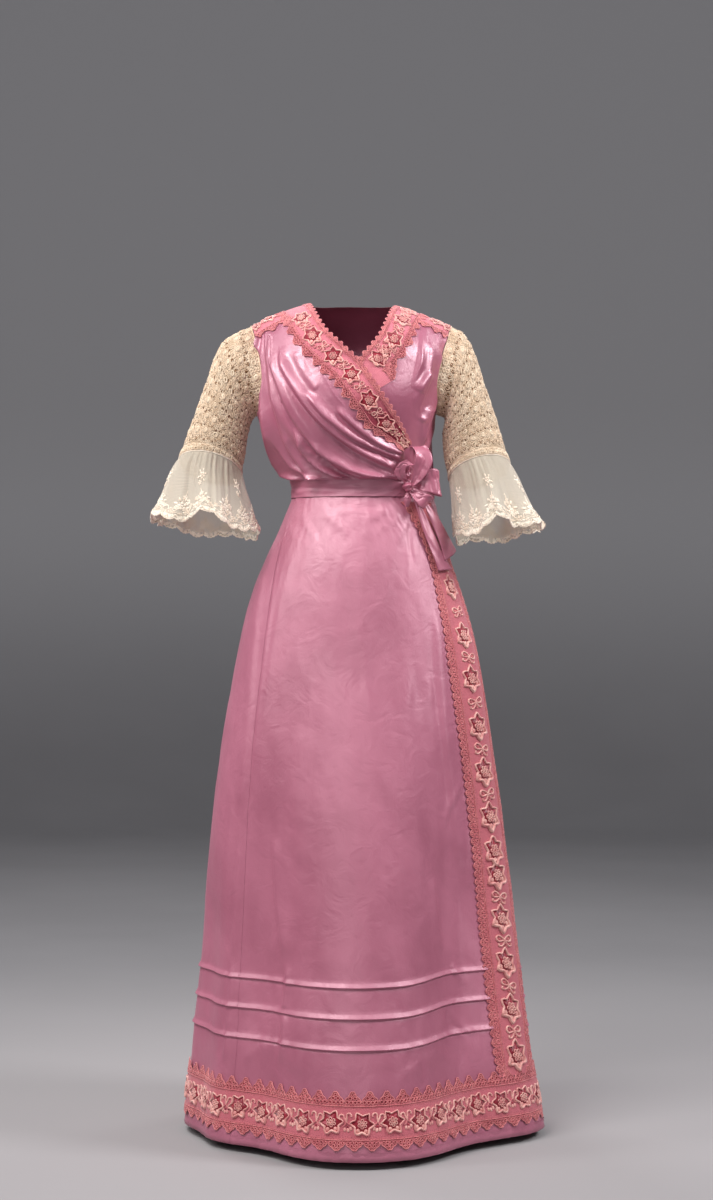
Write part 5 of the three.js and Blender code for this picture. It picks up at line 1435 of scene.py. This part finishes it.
def flounce_surface(name, side, ring, turn):
    """Net gathered onto the sleeve: small gathers at the top that join into waves at the hem."""
    ring, turn = np.broadcast_arrays(np.asarray(ring, float), np.asarray(turn, float))
    grown = ring / 4
    seed = FLOUNCE_SEED[name]
    uneven = turn + 9 * np.sin(np.radians(turn * 3 + seed)) + 5 * noise(turn / 30, ring / 3, seed)
    full = 0.65 + 0.35 * np.cos(np.radians(turn))
    wave = 7.5 * np.cos(np.radians(uneven * 9)) + 6.5 * np.cos(np.radians(uneven * 5 + seed * 3))
    wave = wave * grown * full
    gather = 2.0 * noise(uneven / 5.0, ring * 0.35, seed + 6)
    gather = gather * smooth(1 - grown * 0.8) * smooth(grown * 8 + 0.1)
    ripple = 2.4 * noise(uneven / 8, ring * 0.6, seed + 2) * grown
    return ring_point(FLOUNCES[name], side, ring, turn, wave + gather + ripple)


def down_lengths(p):
    """How far down a tube each of its rings lies."""
    return np.concatenate([[0], np.cumsum(np.linalg.norm(np.diff(p, axis=1), axis=-1).mean(0))])


def crochet_rings(cords, patch, around, total):
    """Corded rings round the open gaps."""
    for r in range(1, int(total / ROW_STEP) + 1):
        for k in range(int(around / GAP_STEP)):
            u, v = (k + 0.5) * GAP_STEP, total - r * ROW_STEP - (1 if k % 2 else -1) * GAP_SWAY
            if 5 < v < total - 12:
                cords.cord(patch, circle(u, v, 3.4 + rng.normal(0, 0.2), 8), 0.6, 0.9, 0.1, closed=True)


def crochet_motifs(cords, rosettes, patch, around, total):
    """Rosettes between the rows of gaps, most of them filled, with small rings beside them."""
    for r in range(int(total / ROW_STEP) + 1):
        for k in range(int(around / MOTIF_STEP) + 1):
            u = (k + 0.5 * (r % 2) + 0.25) * MOTIF_STEP + rng.normal(0, 0.9)
            v = total - (r + 0.5) * ROW_STEP + rng.normal(0, 0.9)
            if not (6 < u < around - 6 and 7 < v < total - 12):
                continue
            size = 4.7 + rng.normal(0, 0.6)
            if rng.random() < 0.72:
                rosettes.disc(patch, circle(u, v, size, 9), 0.7, 0.25)
                rosettes.cord(patch, circle(u, v, size * 0.55, 8), 0.6, 1.4, 0.2, closed=True)
                cords.cord(patch, circle(u, v, size + 1.5, 11), 0.7, 0.8, 0.1, closed=True)
            else:
                rosettes.cord(patch, circle(u, v, size * 0.75, 9), 1.2, 1.1, 0.2, closed=True)
            u = u + MOTIF_STEP / 2
            if u < around - 5:
                for dv in (-4.6, 0.6, 5.4):
                    ring = circle(u + rng.normal(0, 0.5), v + dv, 2.2, 7)
                    cords.cord(patch, ring, 0.6, 0.8, 0.1, closed=True)


def build_sleeve(name, side):
    nu, nv = 130, 110
    turn = np.linspace(0, 360, nu + 1)
    p = sleeve_surface(name, side, np.linspace(0, 7.99, nv)[None, :], turn[:, None])
    around, down = lengths_along(p[:, nv // 2]), down_lengths(p)
    total = down[-1]
    patch = Patch(p, around, down)
    patch.face_away(p.mean(0, keepdims=True))
    cords, rosettes = Stitching(), Stitching()
    crochet_rings(cords, patch, around[-1], total)
    crochet_motifs(cords, rosettes, patch, around[-1], total)
    # The corded edge above the flounce.
    step = 11
    for k in range(int(around[-1] / step)):
        at = ((k + 0.5) * step, total - step / 2)
        rosettes.cord(patch, circle(*at, 4.0, 9), 1.0, 1.6, 0.4, closed=True)
        rosettes.cord(patch, circle(*at, 1.6, 6), 0.7, 1.4, 0.5, closed=True)
    for edge in (1.0, total - 10.5, total - 1.2):
        cords.cord(patch, np.stack([around, np.full_like(around, edge)], -1), 1.0, 1.2, 0.1)
    rings = [cords.build(f"sleeve_{name}_cords", CROCHET_CORD, "crochet"),
             rosettes.build(f"sleeve_{name}_rosettes", ROSETTE, "crochet")]
    nodes = [f"sleeve_{name}_front", f"sleeve_{name}_back"]
    uv = np.stack(np.meshgrid(around, total - down, indexing="ij"), -1)
    cloth(f"sleeve_{name}", p, CROCHET, nodes,
          uv=uv, flip=side > 0)


class NetLace:
    """Embroidery on a flounce; its heights are measured up from the hem."""

    def __init__(self, patch, total):
        self.patch, self.total = patch, total
        self.stitching = Stitching()

    def cord(self, line, radius, rise, lift=0.1, closed=False):
        self.stitching.cord(self.patch, line, radius, rise, lift, closed=closed)

    def flower(self, u, up, r, turned, petals=5):
        v = self.total - up
        for j in range(petals):
            a = 2 * math.pi * j / petals + turned
            petal = circle(u + r * 0.8 * math.cos(a), v + r * 0.8 * math.sin(a), r * 0.45, 6)
            self.stitching.disc(self.patch, petal, 0.5, 0.5)
        self.stitching.disc(self.patch, circle(u, v, r * 0.3, 6), 0.8, 0.3)

    def leaves(self, u, up, away, long, turns, lean=0.0):
        """Leaves that point away from a place, each at its own turn in degrees."""
        t = np.linspace(0, 2 * np.pi, 9, endpoint=False)
        leaf = np.stack([0.5 + 0.5 * np.cos(t), -0.26 * np.sin(t)], -1)
        for turn in turns:
            a = math.radians(turn)
            at = (u + away * math.cos(a), self.total - up - away * math.sin(a))
            self.stitching.disc(self.patch, placed(leaf, *at, long, -turn - lean), 0.5, 0.4)

    def scallop(self, u, pitch, k):
        """One scallop of the hem: an arch, a line, a row of small rings, and flowers and scrolls above."""
        half = pitch / 2
        x = np.linspace(-1, 1, 13)
        for up, thick, arch in ((8.0, 1.0, 5.4), (13.0, 0.7, 0.0)):
            line = np.stack([u + x * half * 0.98, self.total - up + arch * np.sqrt(1 - x ** 2)], -1)
            self.cord(line, thick, thick * 1.3)
        for x in (-0.66, -0.33, 0.0, 0.33, 0.66):
            ring = circle(u + x * half, self.total - 4.6 + 1.6 * abs(x), 1.7, 7)
            self.cord(ring, 0.6, 0.8, closed=True)
        self.flower(u + rng.normal(0, 0.6), 19 + rng.normal(0, 0.8), 4.4, 0.3 * k)
        self.flower(u - half * 0.55, 13.5, 2.2, 0.7 * k)
        self.flower(u + half * 0.55, 14.5, 2.4, 0.5 * k)
        self.flower(u + half, 25 + rng.normal(0, 1.5), 3.4, 0.2 * k)
        for way, start, end in ((-1, 180, 380), (1, -20, 200)):
            self.cord(arc(u + way * half * 0.62, self.total - 22, 4.2, start, end, 8), 0.9, 0.9)

    def spray(self, u, way, k):
        """A climbing spray of flowers and leaves on a stem; every other one has a second above it."""
        base = 31 + rng.normal(0, 2)
        flowers = ((0, 0, 6.4, 0.4), (10.5, 6, 4.4, 0.9), (-9, -4, 4.0, 0.3), (3, 14, 3.6, 0.6))
        for across, up, size, turn in flowers:
            self.flower(u + way * across, base + up, size, turn * k)
        self.leaves(u, base, 8, 8.5, (20, 65, 115, 160, 205, 335), 8 * way)
        v = self.total - base
        stem = np.array([(u - way * 4, v + 6), (u, v - 8), (u + way * 6, v - 24)])
        self.cord(rounded_line(stem, 12), 0.6, 0.7)
        if k % 2:
            high = base + 44
            self.flower(u + way * 5, high, 5.0, 0.5 * k)
            self.flower(u + way * 9, high - 11, 3.2, 0.2 * k)
            self.leaves(u + way * 5, high, 6, 5.0, (20, 75, 130, 200, 300))


def build_flounce(name, side):
    nu, nv = 360, 46
    turn = np.linspace(0, 360, nu + 1)
    p = flounce_surface(name, side, np.linspace(0, 4, nv)[None, :], turn[:, None])
    around, down = lengths_along(p[:, -1]), down_lengths(p)
    total = down[-1]
    above = total - down[None, :]
    # Scallops at the hem, over slow rises and falls.
    count = round(around[-1] / 25)
    pitch = around[-1] / count
    scallop = 5.5 * (1 - np.abs(np.sin(np.pi * around / pitch)) ** 0.8)
    scallop = scallop + 1.2 * np.cos(2 * np.pi * around / pitch * 5)
    slow = 5.0 * noise(turn / 40, 0 * turn, 86) + 3.5 * np.cos(np.radians(turn * 5 + FLOUNCE_SEED[name] * 3))
    slow = slow * smooth(turn / 30) * smooth((360 - turn) / 30)
    arch = 18.0 * np.exp(-((turn - 92) / 17) ** 2) - 12.0 * np.sin(np.radians(np.clip(turn, 0, 180))) ** 0.6
    p[..., 2] += 4.0 * smooth((40 - above) / 40) + scallop[:, None] * smooth((24 - above) / 24)
    p[..., 2] += (arch + slow)[:, None] * smooth((85 - above) / 85)
    patch = Patch(p, around, down)
    patch.face_away(p.mean(0, keepdims=True))
    lace = NetLace(patch, total)
    edges = ((total - 0.6, 0.9, 1.0, 0.0), (total - 0.6, 0.9, -1.0, 0.0), (1.0, 1.0, 1.3, 0.2))
    for v, radius, rise, lift in edges:
        lace.cord(np.stack([around, np.full_like(around, v)], -1), radius, rise, lift)
    for k in range(count):
        lace.scallop((k + 0.5) * pitch, pitch, k)
    sprays = round(around[-1] / 44)
    for k in range(sprays):
        u = (k + 0.5) * around[-1] / sprays + rng.normal(0, 2.5)
        lace.spray(u, -1 if k % 2 else 1, k)
    stitched = lace.stitching.build(f"flounce_{name}_lace", LACE_CREAM, "net")
    uv = np.stack(np.meshgrid(around, total - down, indexing="ij"), -1)
    cloth(f"flounce_{name}", p, NET, [f"flounce_{name}"],
          uv=uv, flip=side > 0)


# ---------------------------------------------------------------- bow
RIBBON_COUNT, RIBBON_ACROSS, RIBBON_BELLY = 60, 14, 1.5


def ribbon_curves(rows):
    """Each of a ribbon's measures as a smooth run through its rows."""
    rows = np.asarray(rows, float)
    fine = np.linspace(0, len(rows) - 1, RIBBON_COUNT)
    return fine, [spline(np.arange(len(rows)), column)(fine) for column in rows.T]


def ribbon_grid(rows, seed):
    """A ribbon through rows of (x, forward, height, half width, lean, turn)."""
    fine, (x, front, h, half, lean, turn) = ribbon_curves(rows)
    centre = np.stack([x, -front, h], -1)
    a = np.radians(lean)
    side = np.stack([np.cos(a), -turn, np.sin(a)], -1)
    side = side / np.linalg.norm(side, axis=1, keepdims=True)
    along = np.gradient(centre, axis=0)
    n = np.cross(side, along)
    n = n / np.maximum(np.linalg.norm(n, axis=1, keepdims=True), 1e-9)
    k = np.linspace(-1, 1, RIBBON_ACROSS)
    wave = RIBBON_BELLY * (1 - k ** 2)[None, :]
    wave = wave + 1.5 * ridges(fine[:, None] * 1.1, k[None, :] * 1.6, 90 + seed)
    across = side[:, None] * (k[None, :, None] * half[:, None, None])
    return centre[:, None] + across + n[:, None] * wave[..., None]


RIBBONS = {
    # The big loop rises from the knot, twists and comes back behind it.
    "bow_loop_top": [
        (89, 108, 1076, 3, 100, 0), (96, 114, 1086, 8, 118, 0), (105, 118, 1102, 13, 140, 0.1),
        (112, 119, 1121, 15, 162, 0.2), (108, 115, 1137, 13, 178, 0.3), (100, 108, 1143, 11, 186, 0.2),
        (97, 102, 1130, 9, 182, 0), (95, 100, 1110, 6, 174, 0)],
    "bow_loop_right": [
        (95.5, 102, 1077, 4, 92, 0), (106, 109, 1080, 12, 90, 0), (120, 112, 1084, 19, 92, 0),
        (134, 108, 1083, 22, 96, 0), (140, 98, 1079, 20, 96, 0), (134, 88, 1077, 17, 94, 0),
        (118, 85, 1077, 10, 92, 0)],
    "bow_loop_low": [
        (91, 103, 1068, 3, 30, 0), (103, 110, 1059, 9, 38, 0), (114, 111, 1051, 13, 44, 0),
        (121, 104, 1047, 13, 46, 0)],
    "bow_loop_left": [
        (82, 108, 1083, 3.5, 180, 0), (75, 115, 1090, 7, 196, 0), (72, 119, 1100, 9, 190, 0),
        (79, 122, 1111, 8, 168, 0), (90, 121, 1114, 7, 142, 0)],
    "bow_tail_short": [
        (84, 96, 1042, 2.5, 0, 0), (84.5, 100, 1052, 5.5, 0, 0), (85.2, 99, 1060, 4.5, 0, 0),
        (85.5, 98, 1065, 2.2, 0, 0)],
}
TAILS = {
    "bow_tail_left": [
        (147, 937, 10, 12, -3), (137, 957, 11, 11.5, 6), (121, 992, 12, 10, 7), (108, 1024, 13, 8, 8),
        (97, 1050, 17, 5, 5), (89.6, 1067, 24, 2.5, 2)],
    "bow_tail_right": [
        (158, 962, 14, 12, -20), (150, 981, 15, 14, 6), (136, 1008, 16, 12, 9), (121, 1036, 17, 9, 9),
        (104, 1060, 15.5, 4, 6)],
}


def tail_grid(rows, seed):
    """A ribbon's end against the skirt, through rows of (across, height, off, half width, drop)."""
    fine, curves = ribbon_curves(rows)
    x, height, off, half, drop = (curve[:, None] for curve in curves)
    k = np.linspace(-1, 1, RIBBON_ACROSS)[None, :]
    h = height - k * drop / 2
    middle = SECTION["middle"](h)
    share = (x + k * half - middle) / (SECTION["half"](h) + off)
    angle = np.degrees(np.arcsin(np.clip(share, -0.985, 0.985)))
    fold = 2.2 * (1 - k ** 2) + 1.2 * noise(fine[:, None] * 1.3, k * 1.6, 95 + seed)
    return plain_ring(angle, h, off + fold)


def build_bow():
    for k, (name, rows) in enumerate(RIBBONS.items()):
        p = ribbon_grid(rows, k)
        cloth(name, p, SATIN_LIGHT, [name], thick=0.8)
    for k, (name, rows) in enumerate(TAILS.items()):
        p = tail_grid(rows, k)
        cloth(name, p, SATIN_LIGHT, [name], thick=0.8)
    # The knot: ribbon wound round in a few ridges.
    turn, up = np.arange(0, 360, 5), np.linspace(-88, 88, 30)
    a, b = np.meshgrid(np.radians(turn), np.radians(up), indexing="ij")
    ridge = 1 + 0.10 * np.sin(b * 7 + a * 1.0) + 0.05 * noise(a * 2, b * 4, 99)
    p = np.stack([86 + 9 * ridge * np.cos(b) * np.cos(a), -96.1 - 15 * ridge * np.cos(b) * np.sin(a),
                  1077 + 11 * np.sin(b) * (0.95 + 0.05 * ridge)], -1)
    obj = trim("bow_knot", p, grid_faces(len(turn), len(up), True).tolist(), SATIN_LIGHT)
    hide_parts("bow_knot")


def build_beads(patch):
    """Small beads sewn among the lace above the knot."""
    up, round_ = np.radians(np.linspace(-80, 80, 6))[:, None], np.radians(np.arange(0, 360, 45))[None, :]
    sphere = np.stack([np.cos(up) * np.cos(round_), np.cos(up) * np.sin(round_), np.sin(up) + 0 * round_], -1)
    sphere = sphere.transpose(1, 0, 2).reshape(-1, 3)
    faces = grid_faces(8, 6, True)
    spots = [(rng.uniform(6, 48), rng.uniform(4, 34), rng.uniform(0.8, 1.3)) for _ in range(20)]
    points = [patch.at(np.array([u]), np.array([v]), 2.2)[0] + sphere * r for u, v, r in spots]
    quads = np.concatenate([faces + k * len(sphere) for k in range(len(spots))])
    trim("beads", np.concatenate(points), quads.tolist(), BEAD)


# ---------------------------------------------------------------- studio
# name, place, aimed at, size across and up, watts, colour
LAMPS = [
    ("key", (-1.3, -1.9, 2.25), (0, 0, -0.3), (1.8, 1.2), 110, (1.0, 0.99, 0.98)),
    ("side", (-2.9, -0.8, 1.2), (0, 0, -0.4), (0.8, 1.8), 36, (1.0, 0.99, 0.98)),
    ("fill", (2.6, -0.9, 1.35), (0, 0, 0.0), (0.9, 1.1), 78, (0.98, 0.98, 1.0)),
    ("low", (-0.6, -4.0, 0.2), (0, 0, -0.8), (2.0, 1.4), 22, (1.0, 1.0, 1.0)),
    ("back left", (-1.8, 2.6, 2.1), (0, 0, -0.3), (1.6, 1.2), 62, (1.0, 1.0, 1.0)),
    ("back right", (2.2, 2.2, 1.2), (0, 0, -0.5), (1.0, 1.4), 24, (1.0, 1.0, 1.0)),
]


def painted_light_paper_material():
    """Grey paper with painted light: a painted pool of light on the floor near the dress, darker away from it,
    and painted light that makes it paler again up the wall.
    """
    m = Nodes("paper")
    place = m.coordinates("Object")
    grain = m.noise(place, 1.6, 4.0)
    away = m.vector("LENGTH", m.vector("MULTIPLY", place, (1.0, 1.0, 0.0)), output="Value")
    wall = m.ramp(m.add("ShaderNodeSeparateXYZ", {0: place}).outputs[2], -1.2, 0.0)
    colour = m.mix(m.ramp(grain, 0.2, 0.8), linear(124, 122, 124), linear(129, 127, 129))
    # Painted light: a pale pool on the floor round the dress.
    colour = m.mix(m.ramp(away, 0.2, 2.4), linear(156, 152, 153), colour)
    # Painted light: the wall painted paler higher up.
    colour = m.mix(wall, colour, linear(166, 164, 166))
    m.set(Base_Color=colour, Roughness=0.9, Specular_IOR_Level=0.1)
    return m.material


def build_sweep():
    """A round sheet of paper that curves up into a wall all round."""
    floor = -(FLOOR_DROP + ORIGIN_HEIGHT) / 1000
    flat, bend, wall = 5.4, 1.8, 5.0
    profile = [(r, 0.0) for r in (0.0, 1.0, 2.0, 3.5, flat)]
    for a in np.radians(np.linspace(6, 90, 15)):
        profile.append((flat + bend * math.sin(a), bend - bend * math.cos(a)))
    profile.append((flat + bend, wall))
    turn = np.radians(np.arange(0, 360, 3.0))
    points = [(r * math.cos(a), r * math.sin(a), z + floor) for r, z in profile for a in turn]
    faces = []
    for k in range(len(profile) - 1):
        for i in range(len(turn)):
            j = (i + 1) % len(turn)
            low, high = k * len(turn), (k + 1) * len(turn)
            faces.append([low + i, low + j, high + j, high + i] if k else [i, high + j, high + i])
    mesh = bpy.data.meshes.new("sweep")
    mesh.from_pydata(points, [], faces)
    mesh.polygons.foreach_set("use_smooth", np.ones(len(mesh.polygons), bool))
    mesh.materials.append(painted_light_paper_material())
    sweep = bpy.data.objects.new("sweep", mesh)
    bpy.context.scene.collection.objects.link(sweep)


def build_lights():
    world = bpy.data.worlds.new("studio")
    world.use_nodes = True
    background = world.node_tree.nodes["Background"]
    background.inputs[0].default_value = (0.92, 0.95, 1.0, 1)
    background.inputs[1].default_value = 0.42
    bpy.context.scene.world = world
    for name, place, aim, size, watts, colour in LAMPS:
        lamp = bpy.data.lights.new(name, "AREA")
        lamp.shape = "RECTANGLE"
        lamp.size, lamp.size_y = size
        lamp.energy = watts
        lamp.color = colour
        obj = bpy.data.objects.new(name, lamp)
        way = np.array(aim, float) - np.array(place, float)
        obj.location = place
        flat = math.hypot(way[0], way[1])
        obj.rotation_euler = (math.atan2(flat, -way[2]), 0, math.atan2(-way[0], way[1]))
        obj.visible_camera = False
        bpy.context.scene.collection.objects.link(obj)


def build_camera():
    camera = bpy.data.cameras.new("camera")
    camera.lens = LENS
    camera.sensor_width = 36
    eye = bpy.data.objects.new("camera", camera)
    eye.location = (0, -CAMERA_DISTANCE / 1000, (CAMERA_HEIGHT - ORIGIN_HEIGHT) / 1000)
    eye.rotation_euler = (math.radians(90), 0, 0)
    bpy.context.scene.collection.objects.link(eye)
    bpy.context.scene.camera = eye


bpy.context.scene.view_settings.view_transform = "Standard"
build_sweep()
build_lights()
build_camera()
build_skirt()
build_hem_lace()
build_front_lace()
build_waistband()
build_bodice()
NECK_PATCH = build_neck_lace()
for sleeve_name, sleeve_side in (("right", -1), ("left", 1)):
    build_sleeve(sleeve_name, sleeve_side)
    build_flounce(sleeve_name, sleeve_side)
build_bow()
build_beads(NECK_PATCH)
